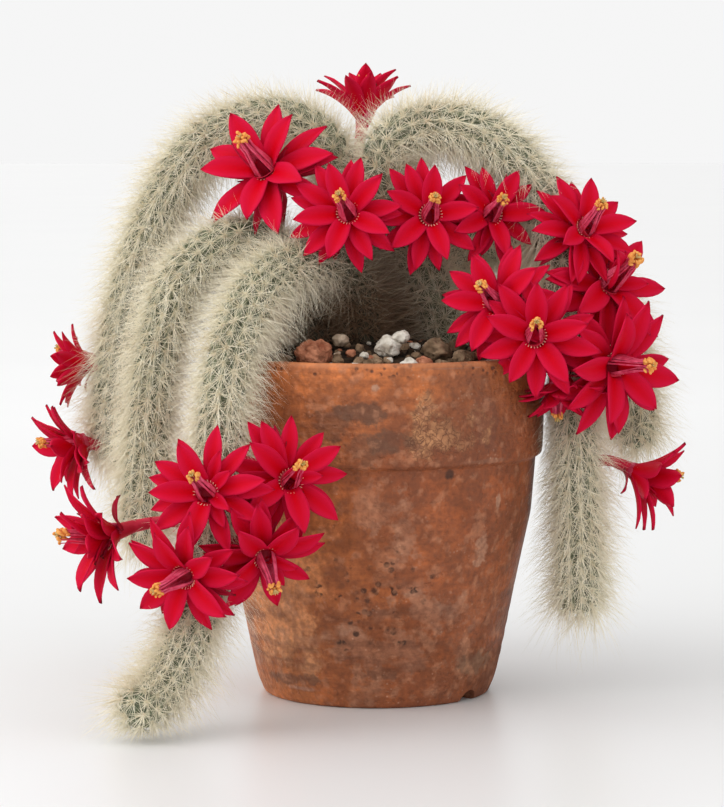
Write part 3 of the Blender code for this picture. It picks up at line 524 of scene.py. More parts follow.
def smooth_line(points, step):
    """Points at an even step along a smooth curve through the given ones."""
    ends = [points[0] * 2 - points[1], *points, points[-1] * 2 - points[-2]]
    dense = []
    for a, b, c, d in zip(ends, ends[1:], ends[2:], ends[3:]):
        for i in range(SPAN_STEPS):
            t = i / SPAN_STEPS
            dense.append(
                (b * 2 + (c - a) * t + (a * 2 - b * 5 + c * 4 - d) * t * t
                 + (b * 3 - a - c * 3 + d) * t ** 3) / 2
            )
    dense.append(points[-1])
    lengths = [0.0]
    for a, b in zip(dense, dense[1:]):
        lengths.append(lengths[-1] + (b - a).length)
    count = max(2, round(lengths[-1] / step))
    line, k = [], 0
    for i in range(count + 1):
        wanted = lengths[-1] * i / count
        while k < len(lengths) - 2 and lengths[k + 1] < wanted:
            k += 1
        share = (wanted - lengths[k]) / max(lengths[k + 1] - lengths[k], 1e-9)
        line.append(dense[k].lerp(dense[k + 1], min(1.0, share)))
    return line


def frames_along(line):
    """(place, side, up, way) at each point of the line, turning as little as it can."""
    way = (line[1] - line[0]).normalized()
    side = way.orthogonal().normalized()
    frames = []
    for k, place in enumerate(line):
        ahead = (line[min(k + 1, len(line) - 1)] - line[max(k - 1, 0)]).normalized()
        side.rotate(way.rotation_difference(ahead))
        way = ahead
        side = (side - way * side.dot(way)).normalized()
        frames.append((place, side.copy(), way.cross(side), way.copy()))
    return frames


def sweep(bm, frames, radii, sides):
    """A tube along the frames. A radius of 0 at an end closes it."""
    last = len(frames) - 1
    made = bmesh.ops.create_grid(bm, x_segments=sides, y_segments=last, size=0.5)["verts"]
    for vert in made:
        turn = (vert.co.x + 0.5) * math.tau
        ring = round((vert.co.y + 0.5) * last)
        place, side, up, _ = frames[ring]
        vert.co = place + (side * math.cos(turn) + up * math.sin(turn)) * radii[ring]
    bmesh.ops.remove_doubles(bm, verts=made, dist=MERGE)


def spin_round(bm, outline, sides):
    """Turns an outline of points, which is open or ends where it began, full circle about the Z axis."""
    for first, second in zip(outline, outline[1:]):
        bm.edges.new((first, second))
    bmesh.ops.spin(
        bm, geom=bm.verts[:] + bm.edges[:], cent=(0, 0, 0), axis=(0, 0, 1), angle=math.tau,
        steps=sides, use_merge=True)
    bmesh.ops.remove_doubles(bm, verts=bm.verts, dist=MERGE)
    bmesh.ops.recalc_face_normals(bm, faces=bm.faces)


# Materials

def add_node(tree, kind, inputs, **settings):
    """A shader node with its settings and its inputs. Each input is a value or another node's output."""
    node = tree.nodes.new("ShaderNode" + kind)
    for label, value in settings.items():
        setattr(node, label, value)
    for label, value in inputs.items():
        if isinstance(value, bpy.types.NodeSocket):
            tree.links.new(value, node.inputs[label])
        else:
            node.inputs[label].default_value = value
    return node


def node_group(name, inputs):
    """A shader group with named inputs and a Mask as its output: the group, its inputs, and the Mask."""
    group = bpy.data.node_groups.new(name, "ShaderNodeTree")
    for label, value in inputs.items():
        kind = "NodeSocketVector" if isinstance(value, tuple) else "NodeSocketFloat"
        group.interface.new_socket(label, in_out="INPUT", socket_type=kind).default_value = value
    group.interface.new_socket("Mask", in_out="OUTPUT", socket_type="NodeSocketFloat")
    entry = group.nodes.new("NodeGroupInput").outputs
    return group, entry, group.nodes.new("NodeGroupOutput").inputs["Mask"]


def object_place(tree):
    """The Object coordinates."""
    return add_node(tree, "TexCoord", {}).outputs["Object"]


def make_blotch_group():
    """Soft-edged patches of noise on Object coordinates: 0 where the noise is under From, 1 over To."""
    group, entry, mask = node_group(
        "blotches", {"Scale": 10.0, "Detail": 4.0, "From": 0.45, "To": 0.6, "Flatten": 1.0})
    squash = add_node(group, "CombineXYZ", {"X": 1.0, "Y": 1.0, "Z": entry["Flatten"]})
    scaled = add_node(
        group, "VectorMath", {0: object_place(group), 1: squash.outputs["Vector"]}, operation="MULTIPLY")
    patches = add_node(
        group, "TexNoise",
        {"Vector": scaled.outputs["Vector"], "Scale": entry["Scale"], "Detail": entry["Detail"]})
    spread = add_node(
        group, "MapRange",
        {"Value": patches.outputs["Fac"], "From Min": entry["From"], "From Max": entry["To"]})
    group.links.new(spread.outputs["Result"], mask)
    return group


def make_pit_group():
    """Small round pits or grains scattered over a surface: 1 in their middles."""
    group, entry, mask = node_group("pits", {"Scale": 200.0, "Size": 0.25})
    cells = add_node(group, "TexVoronoi", {"Vector": object_place(group), "Scale": entry["Scale"]})
    spread = add_node(
        group, "MapRange",
        {"Value": cells.outputs["Distance"], "From Max": entry["Size"], "To Min": 1.0, "To Max": 0.0})
    group.links.new(spread.outputs["Result"], mask)
    return group


def make_stain_group():
    """One stain, Wide and High across from its Centre, its edge torn by Tear: 1 in the middle, 0 outside."""
    group, entry, mask = node_group(
        "stain", {"Centre": (0.0, 0.0, 0.0), "Wide": 0.01, "High": 0.01, "Ragged": 0.8, "Tear": 0.0})
    size = add_node(group, "CombineXYZ", {"X": entry["Wide"], "Y": entry["Wide"], "Z": entry["High"]})
    offset = add_node(group, "VectorMath", {0: object_place(group), 1: entry["Centre"]}, operation="SUBTRACT")
    scaled = add_node(
        group, "VectorMath", {0: offset.outputs["Vector"], 1: size.outputs["Vector"]}, operation="DIVIDE")
    far = add_node(group, "VectorMath", {0: scaled.outputs["Vector"]}, operation="LENGTH")
    torn = add_node(
        group, "Math", {0: entry["Tear"], 1: entry["Ragged"], 2: far.outputs["Value"]},
        operation="MULTIPLY_ADD")
    spread = add_node(
        group, "MapRange", {"Value": torn.outputs["Value"], "From Min": STAIN_EDGE, "From Max": STAIN_MIDDLE},
        interpolation_type="SMOOTHSTEP")
    group.links.new(spread.outputs["Result"], mask)
    return group


def make_crack_group():
    """A net of fine cracks: 1 on the cracks."""
    group, entry, mask = node_group("cracks", {"Scale": 200.0, "Width": 0.06})
    place = object_place(group)
    bent = add_node(group, "TexNoise", {"Vector": place, "Scale": CRACK_BEND_SCALE, "Detail": 4.0})
    shifted = add_node(
        group, "MixRGB", {"Fac": CRACK_BEND, "Color1": place, "Color2": bent.outputs["Color"]},
        blend_type="ADD")
    cells = add_node(
        group, "TexVoronoi", {"Vector": shifted.outputs["Color"], "Scale": entry["Scale"]},
        feature="DISTANCE_TO_EDGE")
    spread = add_node(
        group, "MapRange",
        {"Value": cells.outputs["Distance"], "From Max": entry["Width"], "To Min": 1.0, "To Max": 0.0})
    group.links.new(spread.outputs["Result"], mask)
    return group


BLOTCHES = make_blotch_group()
PITS = make_pit_group()
STAIN = make_stain_group()
CRACKS = make_crack_group()


def new_material(name, roughness):
    """A material, its node tree and its shader."""
    material = bpy.data.materials.new(name)
    material.use_nodes = True
    shader = material.node_tree.nodes["Principled BSDF"]
    shader.inputs["Roughness"].default_value = roughness
    return material, material.node_tree, shader


def placed(tree, group, **values):
    """The mask of a group placed in a material with its own values."""
    return add_node(tree, "Group", values, node_tree=group).outputs["Mask"]


def mixed(tree, mask, low, high):
    """low where the mask is 0 and high where it is 1. Each is a colour or another node's output."""
    low, high = ((*colour, 1.0) if isinstance(colour, tuple) else colour for colour in (low, high))
    return add_node(tree, "Mix", {0: mask, 6: low, 7: high}, data_type="RGBA").outputs[2]


def times(tree, first, second):
    """The product of a mask with another mask or a number."""
    return add_node(tree, "Math", {0: first, 1: second}, operation="MULTIPLY").outputs["Value"]


def less(tree, first, second):
    """One mask with another taken off it."""
    return add_node(tree, "Math", {0: first, 1: second}, operation="SUBTRACT").outputs["Value"]


def ramped(tree, value, start, end):
    """A mask that goes from 0 to 1 as the value goes from start to end."""
    return add_node(tree, "MapRange", {"Value": value, "From Min": start, "From Max": end}).outputs["Result"]


def object_axis(tree, axis):
    """X, Y or Z of the Object coordinates."""
    return add_node(tree, "SeparateXYZ", {"Vector": object_place(tree)}).outputs[axis]


def attribute(tree, name):
    """A value that the piece carries at each of its points."""
    return add_node(tree, "Attribute", {}, attribute_name=name).outputs["Fac"]


def bumped(tree, shader, height, strength, distance):
    """Gives the shader a bump that is raised where the height is."""
    node = add_node(tree, "Bump", {"Height": height, "Strength": strength, "Distance": distance})
    tree.links.new(node.outputs["Normal"], shader.inputs["Normal"])


def tear_noise(tree):
    """The noise that tears the edges of all the stains, about 0."""
    rough = add_node(
        tree, "TexNoise", {"Vector": object_place(tree), "Scale": 85.0, "Detail": 8.0, "Roughness": 0.65})
    centred = add_node(
        tree, "MapRange", {"Value": rough.outputs["Fac"], "To Min": -TEAR_REACH, "To Max": TEAR_REACH},
        clamp=False)
    return centred.outputs["Result"]


def stained(tree, tear, place, wide, tall, ragged):
    """The mask of a stain at a place on the pot, half as wide and tall as given in millimetres."""
    return placed(
        tree, STAIN, Centre=tuple(from_axis(place)), Wide=wide * MM, High=tall * MM, Ragged=ragged, Tear=tear)


def banded(tree, name):
    """The mask of one of the wall's bands."""
    axis, start, end = WALL_BANDS[name]
    return ramped(tree, object_axis(tree, axis), start * MM, end * MM)


def coated(tree, colour, tint, strength, *masks):
    """The colour under a coat of clay tint that shows where all the masks do."""
    mask, *others = masks
    for other in others:
        mask = times(tree, mask, other)
    return mixed(tree, times(tree, mask, strength), colour, CLAY_TINTS[tint])


def terracotta_material():
    """Red-brown clay with throwing lines, placed stains, salt and black specks, more orange on its left as
    painted light, and darker low on the right and at the collar's step on the right as painted shade.
    """
    material, tree, shader = new_material("weathered_terracotta", 0.62)
    shader.inputs["Specular IOR Level"].default_value = 0.3
    uneven = placed(tree, BLOTCHES, Scale=16.0, From=0.38, To=0.62)
    colour = mixed(tree, uneven, CLAY_TINTS["deep"], CLAY_TINTS["fired"])
    # Painted light: the left of the wall is coated lighter and more orange, as if lit from that side.
    lit_left = placed(tree, BLOTCHES, Scale=24.0, From=0.25, To=0.55)
    colour = coated(tree, colour, "lit_left", 1.0, lit_left, banded(tree, "left"))
    brushed = placed(tree, BLOTCHES, Scale=30.0, From=0.2, To=0.55, Flatten=3.0)
    colour = coated(tree, colour, "collar", 0.85, brushed, banded(tree, "collar"))
    turned = placed(tree, BLOTCHES, Scale=16.0, Detail=6.0, From=0.42, To=0.62, Flatten=16.0)
    colour = coated(tree, colour, "turned", 0.32, turned)
    tear = tear_noise(tree)
    for x, y, z, wide, tall, ragged, strength, tint in STAINS:
        mask = stained(tree, tear, (x, y, z), wide, tall, ragged)
        colour = coated(tree, colour, tint, strength, mask)
    grimy = placed(tree, BLOTCHES, Scale=23.0, Detail=8.0, From=0.53, To=0.66)
    colour = coated(tree, colour, "smudge", 0.6, grimy, banded(tree, "behind"))
    salt = placed(tree, BLOTCHES, Scale=75.0, Detail=9.0, From=0.54, To=0.66, Flatten=1.3)
    colour = coated(tree, colour, "salt", 0.4, salt, banded(tree, "lower"))
    flaked = stained(tree, tear, *FLAKED_PATCH)
    crazed = times(tree, placed(tree, CRACKS, Scale=300.0, Width=0.09), flaked)
    colour = coated(tree, colour, "crack", 0.8, crazed)
    flakes = placed(tree, BLOTCHES, Scale=130.0, Detail=9.0, From=0.50, To=0.58)
    colour = coated(tree, colour, "flake", 0.6, flakes, flaked)
    # Painted shade: the wall is darker low down on the right, away from the light.
    colour = coated(tree, colour, "low", 0.45, banded(tree, "right"), banded(tree, "low"))
    # Painted shade: at the collar's step on the right the wall is darker.
    colour = coated(tree, colour, "ledge_shade", 0.35, banded(tree, "far_right"), banded(tree, "ledge_shade"))
    streaks = placed(tree, BLOTCHES, Scale=42.0, Detail=9.0, From=0.50, To=0.60, Flatten=3.2)
    belt = times(tree, banded(tree, "under_belt"), banded(tree, "over_foot"))
    colour = coated(tree, colour, "streak", 0.5, streaks, belt)
    grains = placed(tree, PITS, Scale=330.0, Size=0.22)
    colour = coated(tree, colour, "grain", 0.7, grains, placed(tree, BLOTCHES, Scale=60.0, From=0.5, To=0.62))
    specks = ramped(tree, placed(tree, PITS, Scale=260.0, Size=0.6), 0.2, 0.5)
    bunched = placed(tree, BLOTCHES, Scale=150.0, From=0.46, To=0.52)
    colour = coated(tree, colour, "soot", 0.9, specks, stained(tree, tear, *SOOT_PATCH), bunched)
    # The dark clouds fade out towards the left, so the left of the wall stays lighter: painted light from
    # that side.
    cloudy = placed(tree, BLOTCHES, Scale=85.0, Detail=10.0, From=0.42, To=0.60)
    colour = coated(tree, colour, "cloud", 0.5, cloudy, banded(tree, "past_left"))
    powder = placed(tree, BLOTCHES, Scale=150.0, Detail=10.0, From=0.55, To=0.64)
    colour = coated(tree, colour, "powder", 0.38, powder)
    fine = placed(tree, BLOTCHES, Scale=380.0, Detail=4.0, From=0.35, To=0.68)
    colour = coated(tree, colour, "fleck", 0.48, fine)
    holes = ramped(tree, placed(tree, PITS, Scale=290.0, Size=0.55), 0.30, 0.55)
    pits = times(tree, holes, placed(tree, BLOTCHES, Scale=120.0, From=0.48, To=0.54))
    colour = coated(tree, colour, "pit", 0.9, pits, banded(tree, "rim"))
    colour = coated(tree, colour, "lip", 0.45, banded(tree, "lip"))
    tree.links.new(colour, shader.inputs["Base Color"])
    worn = add_node(tree, "MapRange", {"Value": grimy, "To Min": 0.55, "To Max": 0.9})
    tree.links.new(worn.outputs["Result"], shader.inputs["Roughness"])
    raised = add_node(
        tree, "Math", {0: less(tree, fine, pits), 1: times(tree, turned, 0.6)}, operation="ADD")
    bumped(tree, shader, less(tree, raised.outputs["Value"], crazed), strength=0.6, distance=0.5 * MM)
    return material


def plain_material(name, roughness, scale, low, high, bump, spots=None):
    """Two colours mottled by noise, a bump of the same grain, and spots if a colour is given for them."""
    material, tree, shader = new_material(name, roughness)
    shader.inputs["Specular IOR Level"].default_value = 0.2
    grain = placed(tree, BLOTCHES, Scale=scale, Detail=6.0, From=0.35, To=0.65)
    colour = mixed(tree, grain, low, high)
    if spots:
        colour = mixed(tree, placed(tree, PITS, Scale=scale * 1.6, Size=0.34), colour, spots)
    tree.links.new(colour, shader.inputs["Base Color"])
    bumped(tree, shader, grain, strength=0.7, distance=bump)
    return material


def skin_material():
    """Grey-green skin, paler on the felt round each areole, with painted shade: browner in the furrows and
    near black between the stems over the soil.
    """
    material, tree, shader = new_material("stem_skin", 0.7)
    mottled = placed(tree, BLOTCHES, Scale=90.0, From=0.35, To=0.65)
    colour = mixed(tree, mottled, (0.085, 0.108, 0.058), (0.165, 0.195, 0.115))
    # Painted shade: the furrows between the ribs are darker.
    colour = mixed(tree, attribute(tree, "furrow_shade"), colour, (0.060, 0.070, 0.036))
    colour = mixed(tree, attribute(tree, "felt"), colour, (0.42, 0.42, 0.30))
    # Painted shade: the skin turns near black in the hollow between the stems.
    colour = mixed(tree, times(tree, shade_among_stems(tree), 0.8), colour, (0.030, 0.019, 0.009))
    tree.links.new(colour, shader.inputs["Base Color"])
    pores = placed(tree, BLOTCHES, Scale=700.0, Detail=2.0)
    bumped(tree, shader, pores, strength=0.4, distance=0.2 * MM)
    return material


def shade_among_stems(tree):
    """A mask for painted shade: 1 in the hollow between the stems, over the soil."""
    offset = add_node(
        tree, "VectorMath", {0: object_place(tree), 1: from_axis(HOLLOW_MIDDLE)}, operation="SUBTRACT")
    level = add_node(
        tree, "VectorMath", {0: offset.outputs["Vector"], 1: (1.0, 1.0, 0.0)}, operation="MULTIPLY")
    away = add_node(tree, "VectorMath", {0: level.outputs["Vector"]}, operation="LENGTH")
    near = ramped(tree, away.outputs["Value"], *HOLLOW_INWARD)
    return times(tree, near, ramped(tree, object_axis(tree, "Z"), *HOLLOW_DOWNWARD))


def hair_material(name, low, high):
    """Bristles: cream, some tufts tan, and brown as painted shade between the stems near the soil."""
    material, tree, shader = new_material(name, 0.55)
    shader.inputs["Specular IOR Level"].default_value = 0.3
    colour = mixed(tree, placed(tree, BLOTCHES, Scale=260.0, Detail=2.0, From=0.35, To=0.65), low, high)
    tan = placed(tree, BLOTCHES, Scale=45.0, Detail=5.0, From=0.54, To=0.66)
    colour = mixed(tree, times(tree, tan, 0.25), colour, (0.66, 0.50, 0.35))
    # Painted shade: the hair turns brown in the hollow between the stems.
    colour = mixed(tree, times(tree, shade_among_stems(tree), 0.92), colour, (0.20, 0.098, 0.042))
    tree.links.new(colour, shader.inputs["Base Color"])
    return material


def petal_material(name, middle, edge_and_sheen, tip):
    """Deep red in the middle, pinker towards the edges, partly the petal's own colour and partly a painted
    sheen, with fine lengthwise veins and a dark tip.
    """
    material, tree, shader = new_material(name, 0.42)
    across = attribute(tree, "across")
    along = attribute(tree, "along")
    place = add_node(tree, "CombineXYZ", {"X": across, "Y": times(tree, along, 0.25)})
    veins = add_node(
        tree, "TexWave", {"Vector": place.outputs["Vector"], "Scale": 3.4, "Distortion": 1.2}).outputs["Fac"]
    from_middle = add_node(tree, "Math", {0: across}, operation="ABSOLUTE").outputs["Value"]
    rim = ramped(tree, from_middle, 0.15, 1.05)
    outward = ramped(tree, along, 0.05, 0.95)
    # The pink towards the edges and outward is partly the petal's own colour and partly a painted sheen.
    colour = mixed(tree, times(tree, rim, 0.8), middle, edge_and_sheen)
    colour = mixed(tree, times(tree, times(tree, outward, outward), 0.55), colour, edge_and_sheen)
    colour = mixed(tree, times(tree, veins, 0.22), colour, (0.40, 0.0, 0.010))
    colour = mixed(tree, times(tree, ramped(tree, along, 0.93, 1.0), 0.6), colour, tip)
    tree.links.new(colour, shader.inputs["Base Color"])
    shader.inputs["Specular IOR Level"].default_value = 0.03
    bumped(tree, shader, veins, strength=0.25, distance=0.3 * MM)
    return material


# Pot

def rounded(corners, steps):
    """The closed outline of corners, each given with its roundness, with every corner turned into an arc."""
    made = []
    outline = [Vector((across, height)) * MM for across, height, _ in corners]
    for k, corner in enumerate(outline):
        radius = corners[k][2] * MM
        before = outline[k - 1] - corner
        after = outline[(k + 1) % len(outline)] - corner
        start = corner + before.normalized() * min(radius, before.length * MOST_ROUNDED)
        end = corner + after.normalized() * min(radius, after.length * MOST_ROUNDED)
        for i in range(steps + 1):
            t = i / steps
            made.append(start.lerp(corner, t).lerp(corner.lerp(end, t), t))
    return made


def refined(outline, step):
    """The outline with points added along the long stretches of the outer wall."""
    made = []
    for a, b in zip(outline, outline[1:] + outline[:1]):
        made.append(a)
        if a.y > b.y:
            count = int((b - a).length / step)
            made += [a.lerp(b, (i + 1) / (count + 1)) for i in range(count)]
    return made


def make_pot(clay):
    """The pot: its section turned, made uneven, and notched."""
    bm = bmesh.new()
    outline = refined(rounded(POT_SECTION, CORNER_STEPS), WALL_STEP)
    verts = [bm.verts.new((point.x, 0.0, point.y)) for point in outline]
    spin_round(bm, verts + verts[:1], POT_SIDES)
    for vert in bm.verts:
        shape_wall(vert)
    bmesh.ops.translate(bm, verts=bm.verts, vec=AXIS)
    pot = mesh_object("pot_clay", bm, [clay])
    cut_notch(pot)
    pot.data.shade_smooth()
    pot.data.set_sharp_from_angle(angle=SHARP_ANGLE)
    finish_piece(pot, "pot")


def shape_wall(vert):
    """Throwing rings and the slow unevenness of a hand-thrown wall, and a few chips along the rim."""
    radius = math.hypot(vert.co.x, vert.co.y)
    if radius < FOOT_RADIUS - FOOT_WIDTH or vert.co.z < FOOT_FLAT:
        return
    outward = Vector((vert.co.x, vert.co.y, 0.0)) / radius
    turn, scale, depth = THROWING_RINGS
    rings = math.sin(vert.co.z / MM * turn) * noise.noise(vert.co * scale) * depth
    scale, depth = WALL_WOBBLE
    slow = noise.noise(vert.co * scale + WOBBLE_SEED) * depth
    scale, rare, depth, reach = RIM_CHIPS
    chip = max(0.0, noise.noise(vert.co * scale) - rare) * depth if vert.co.z > POT_HEIGHT - reach else 0.0
    vert.co += outward * (rings + slow - chip) * MM
    vert.co.z = min(vert.co.z - chip * CHIP_DROP * MM, POT_HEIGHT)


def cut_notch(pot):
    """Cuts the drainage notch through the foot ring with a lying cylinder."""
    bm = bmesh.new()
    lie_out = Matrix.Rotation(NOTCH_ANGLE, 4, "Z") @ Matrix.Translation((FOOT_RADIUS, 0, 0))
    bmesh.ops.create_cone(
        bm, cap_ends=True, segments=NOTCH_SIDES, radius1=NOTCH_RADIUS, radius2=NOTCH_RADIUS,
        depth=FOOT_WIDTH * 3,
        matrix=Matrix.Translation(AXIS) @ lie_out @ Matrix.Rotation(math.pi / 2, 4, "Y"))
    cutter = mesh_object("notch_cutter", bm, [])
    cut = pot.modifiers.new("notch", "BOOLEAN")
    cut.object = cutter
    cut.solver = "EXACT"
    apply_modifiers(pot)
    bpy.data.objects.remove(cutter)


def apply_modifiers(obj):
    """Turns the object's modifiers into its mesh."""
    bpy.context.view_layer.update()
    graph = bpy.context.evaluated_depsgraph_get()
    mesh = bpy.data.meshes.new_from_object(obj.evaluated_get(graph))
    obj.modifiers.clear()
    obj.data = mesh


# Gravel

def bed_height(x, y):
    """Height of the gravel bed at a distance from the pot's axis."""
    return BED_EDGE + BED_RISE * (1.0 - (math.hypot(x, y) / (RIM_RADIUS - WALL)) ** 2)


def add_stone(bm, rng, place, radius, detail, kind):
    """One rough stone, squashed, dented and, where it is large enough, pitted."""
    made = bmesh.ops.create_icosphere(bm, subdivisions=detail, radius=radius)["verts"]
    squash = Matrix.Diagonal((*(rng.uniform(*span) for span in STONE_SQUASH), 1))
    spin = Matrix.Rotation(rng.uniform(0, math.tau), 4, "Z")
    turn = spin @ Matrix.Rotation(rng.uniform(-STONE_TILT, STONE_TILT), 4, "X")
    seed = Vector([rng.uniform(-STONE_SEEDS, STONE_SEEDS) for _ in range(3)])
    scale, rare, depth = STONE_PITS
    for vert in made:
        way = vert.co.normalized()
        lumps = sum(noise.noise(way * fine + seed) * high for fine, high in STONE_LUMPS)
        pits = max(0.0, noise.noise(way * scale + seed) - rare) * depth if detail > GRIT_DETAIL else 0.0
        vert.co *= 1.0 + lumps - pits
    bmesh.ops.transform(bm, matrix=Matrix.Translation(place) @ turn @ squash, verts=made)
    for face in {face for vert in made for face in vert.link_faces}:
        face.material_index = STONE_KINDS.index(kind)
        face.smooth = detail > GRIT_DETAIL


def make_gravel(materials):
    """The heaped bed with its stones and loose grit."""
    rng = random.Random(GRAVEL_SEED)
    bm = bmesh.new()
    reach = RIM_RADIUS - WALL - BED_GAP
    shares = [i / BED_RINGS for i in range(BED_RINGS + 1)]
    outline = [bm.verts.new((reach * share, 0.0, bed_height(reach * share, 0))) for share in shares]
    outline += [bm.verts.new((reach, 0.0, BED_BOTTOM)), bm.verts.new((0.0, 0.0, BED_BOTTOM))]
    spin_round(bm, outline, BED_SIDES)
    scale, height, sink = BED_BUMPS
    for vert in bm.verts:
        if vert.co.z > BED_BOTTOM + BED_GAP:
            vert.co.z += noise.noise(vert.co * scale) * height - sink
    for face in bm.faces:
        face.material_index = STONE_KINDS.index("grit")
    for x, y, radius, proud, kind in STONES:
        high = bed_height(x * MM, y * MM) + radius * MM * proud
        detail = LARGE_DETAIL if radius > LARGE_STONE else STONE_DETAIL
        add_stone(bm, rng, (x * MM, y * MM, high), radius * MM, detail, kind)
    for _ in range(GRIT_COUNT):
        distance = (reach - GRIT_MARGIN) * math.sqrt(rng.random())
        angle = rng.uniform(0, math.tau)
        x, y = distance * math.cos(angle), distance * math.sin(angle)
        radius = rng.uniform(*GRIT_RADII)
        kind = rng.choices(STONE_KINDS, GRIT_SHARES)[0]
        add_stone(bm, rng, (x, y, bed_height(x, y) - GRIT_SINK), radius, GRIT_DETAIL, kind)
    bmesh.ops.translate(bm, verts=bm.verts, vec=AXIS)
    gravel = mesh_object("gravel_bed", bm, materials)
    finish_piece(gravel, "gravel")


# Stems

class Stem(NamedTuple):
    """A stem's rings: the frame, radius and slope of each."""

    frames: list
    radii: list
    slopes: list


def lay_out_stem(name):
    """The rings of a stem, half a step between areoles apart, from its root in the soil to its tip."""
    radius, route = STEMS[name]
    points = [from_axis(point) for point in route]
    root = Vector((points[0].x, points[0].y, SOIL_TOP - ROOT_DEPTH))
    step = AREOLE_STEP / 2
    frames = frames_along(smooth_line([root, *points], step))
    length = step * (len(frames) - 1)
    radii = [radius * MM * stem_share(step * k, length) for k in range(len(frames))]
    slopes = [
        (radii[min(k + 1, len(radii) - 1)] - radii[max(k - 1, 0)]) / (2 * step) for k in range(len(radii))
    ]
    return Stem(frames, radii, slopes)


def stem_share(from_root, length):
    """The share of the stem's radius this far from its root: a narrow neck, then a slow taper to a dome."""
    swell = min(1.0, max(0.0, from_root - ROOT_LENGTH) / SWELL_LENGTH)
    share = (ROOT_SHARE + (1.0 - ROOT_SHARE) * swell) * (1.0 - TIP_TAPER * from_root / length)
    left = max(0.0, length - from_root)
    if left < TIP_DOME:
        share *= math.sqrt(max(0.0, 1.0 - (1.0 - left / TIP_DOME) ** 2))
    return share


def has_areole(ring, rib):
    """Areoles stand at every second ring of a rib, and those of neighbouring ribs between them."""
    return (ring + rib) % 2 == 0


def skin_swell(ring, turn):
    """How far the skin stands out, as a share of the radius: ribs, and a bead on them under each areole."""
    rib = round(turn / math.tau * RIBS) % RIBS
    crest = math.cos(turn * RIBS)
    bead = AREOLE_BEAD if has_areole(ring, rib) else -AREOLE_DIP
    return 1.0 + RIB_DEPTH * crest + bead * max(0.0, crest)


def make_skin(name, stem, material):
    """The ribbed skin of a stem, with its felt and its furrows, where shade is painted, marked for the
    material.
    """
    bm = bmesh.new()
    felt = bm.verts.layers.float.new("felt")
    furrow_shade = bm.verts.layers.float.new("furrow_shade")
    sides = RIBS * SIDES_PER_RIB
    radii = [0.0, *stem.radii[1:]]
    last = len(stem.frames) - 1
    made = bmesh.ops.create_grid(bm, x_segments=sides, y_segments=last, size=0.5)["verts"]
    for vert in made:
        column = round((vert.co.x + 0.5) * sides)
        turn = column / sides * math.tau
        ring = round((vert.co.y + 0.5) * last)
        place, side, up, _ = stem.frames[ring]
        outward = side * math.cos(turn) + up * math.sin(turn)
        vert.co = place + outward * radii[ring] * skin_swell(ring, turn)
        on_crest = column % SIDES_PER_RIB == 0
        vert[felt] = 1.0 if on_crest and has_areole(ring, column // SIDES_PER_RIB) else 0.0
        vert[furrow_shade] = 1.0 if column % SIDES_PER_RIB == SIDES_PER_RIB // 2 else 0.0
    bmesh.ops.remove_doubles(bm, verts=made, dist=MERGE)
    bmesh.ops.recalc_face_normals(bm, faces=bm.faces)
    for face in bm.faces:
        face.smooth = True
    skin = mesh_object(name + "_skin", bm, [material])
    finish_piece(skin, name)
    return skin


def make_tuft(kind):
    """One areole's cushion, bristles and hairs, with +Z out of the stem.

    Gives the mesh, its points, and which of them belong to each needle, the tip last.
    """
    rng = random.Random(kind)
    bm = bmesh.new()
    bmesh.ops.create_cone(
        bm, cap_ends=True, segments=CUSHION_SIDES, radius1=CUSHION_RADIUS, radius2=0.0, depth=CUSHION_HEIGHT,
        matrix=Matrix.Translation((0, 0, CUSHION_HEIGHT * CUSHION_SINK)))
    paint_from(bm, 0, WOOL, smooth=False)
    needles = []
    for part in TUFT_PARTS:
        count, shortest, longest, low, high, radius = part
        first = len(bm.faces)
        for i in range(count):
            turn = (i + rng.uniform(-TURN_STRAY, TURN_STRAY)) * math.tau / count + kind
            slant = math.radians(rng.uniform(low, high))
            root = Vector((rng.uniform(-1, 1), rng.uniform(-1, 1), 0.0)) * ROOT_SPREAD
            needles.append(add_bristle(bm, rng.uniform(shortest, longest), radius, turn, slant, root))
        paint_from(bm, first, GREY if part is RADIAL_BRISTLES else CREAM, smooth=False)
    bm.verts.index_update()
    needles = [[vert.index for vert in needle] for needle in needles]
    mesh = bpy.data.meshes.new("tuft")
    bm.to_mesh(mesh)
    bm.free()
    points = np.empty(len(mesh.vertices) * 3, np.float32)
    mesh.vertices.foreach_get("co", points)
    return mesh, points.reshape(-1, 3).astype(float), needles


def add_bristle(bm, length, radius, turn, slant, root):
    """A straight three-sided needle. Returns its points, the tip last."""
    lie = Matrix.Rotation(turn, 4, "Z") @ Matrix.Rotation(math.pi / 2 - slant, 4, "Y")
    made = add_needle(bm, length, radius, Matrix.Translation(root) @ lie)
    return sorted(made, key=lambda vert: (vert.co - root).length)


def add_needle(bm, length, radius, matrix):
    """A three-sided needle that stands on the matrix's origin, along its Z."""
    return bmesh.ops.create_cone(
        bm, cap_ends=True, segments=3, radius1=radius, radius2=0.0, depth=length,
        matrix=matrix @ Matrix.Translation((0, 0, length / 2)))["verts"]


def clear_share(root, tip, trees):
    """The share of a needle from root to tip that is clear of the trees, the table and the outer box."""
    share = 1.0
    for value, reach, low, high in zip(root, tip, HAIR_LOW, HAIR_HIGH):
        if reach < low:
            share = min(share, max(0.0, value - low) / (value - reach))
        if reach > high:
            share = min(share, max(0.0, high - value) / (reach - value))
    way = tip - root
    length = way.length
    start = root + way * (ROOT_SKIP / length)
    for tree in trees:
        distance = tree.ray_cast(start, way, length)[3]
        if distance is not None:
            share = min(share, distance / length)
    return share


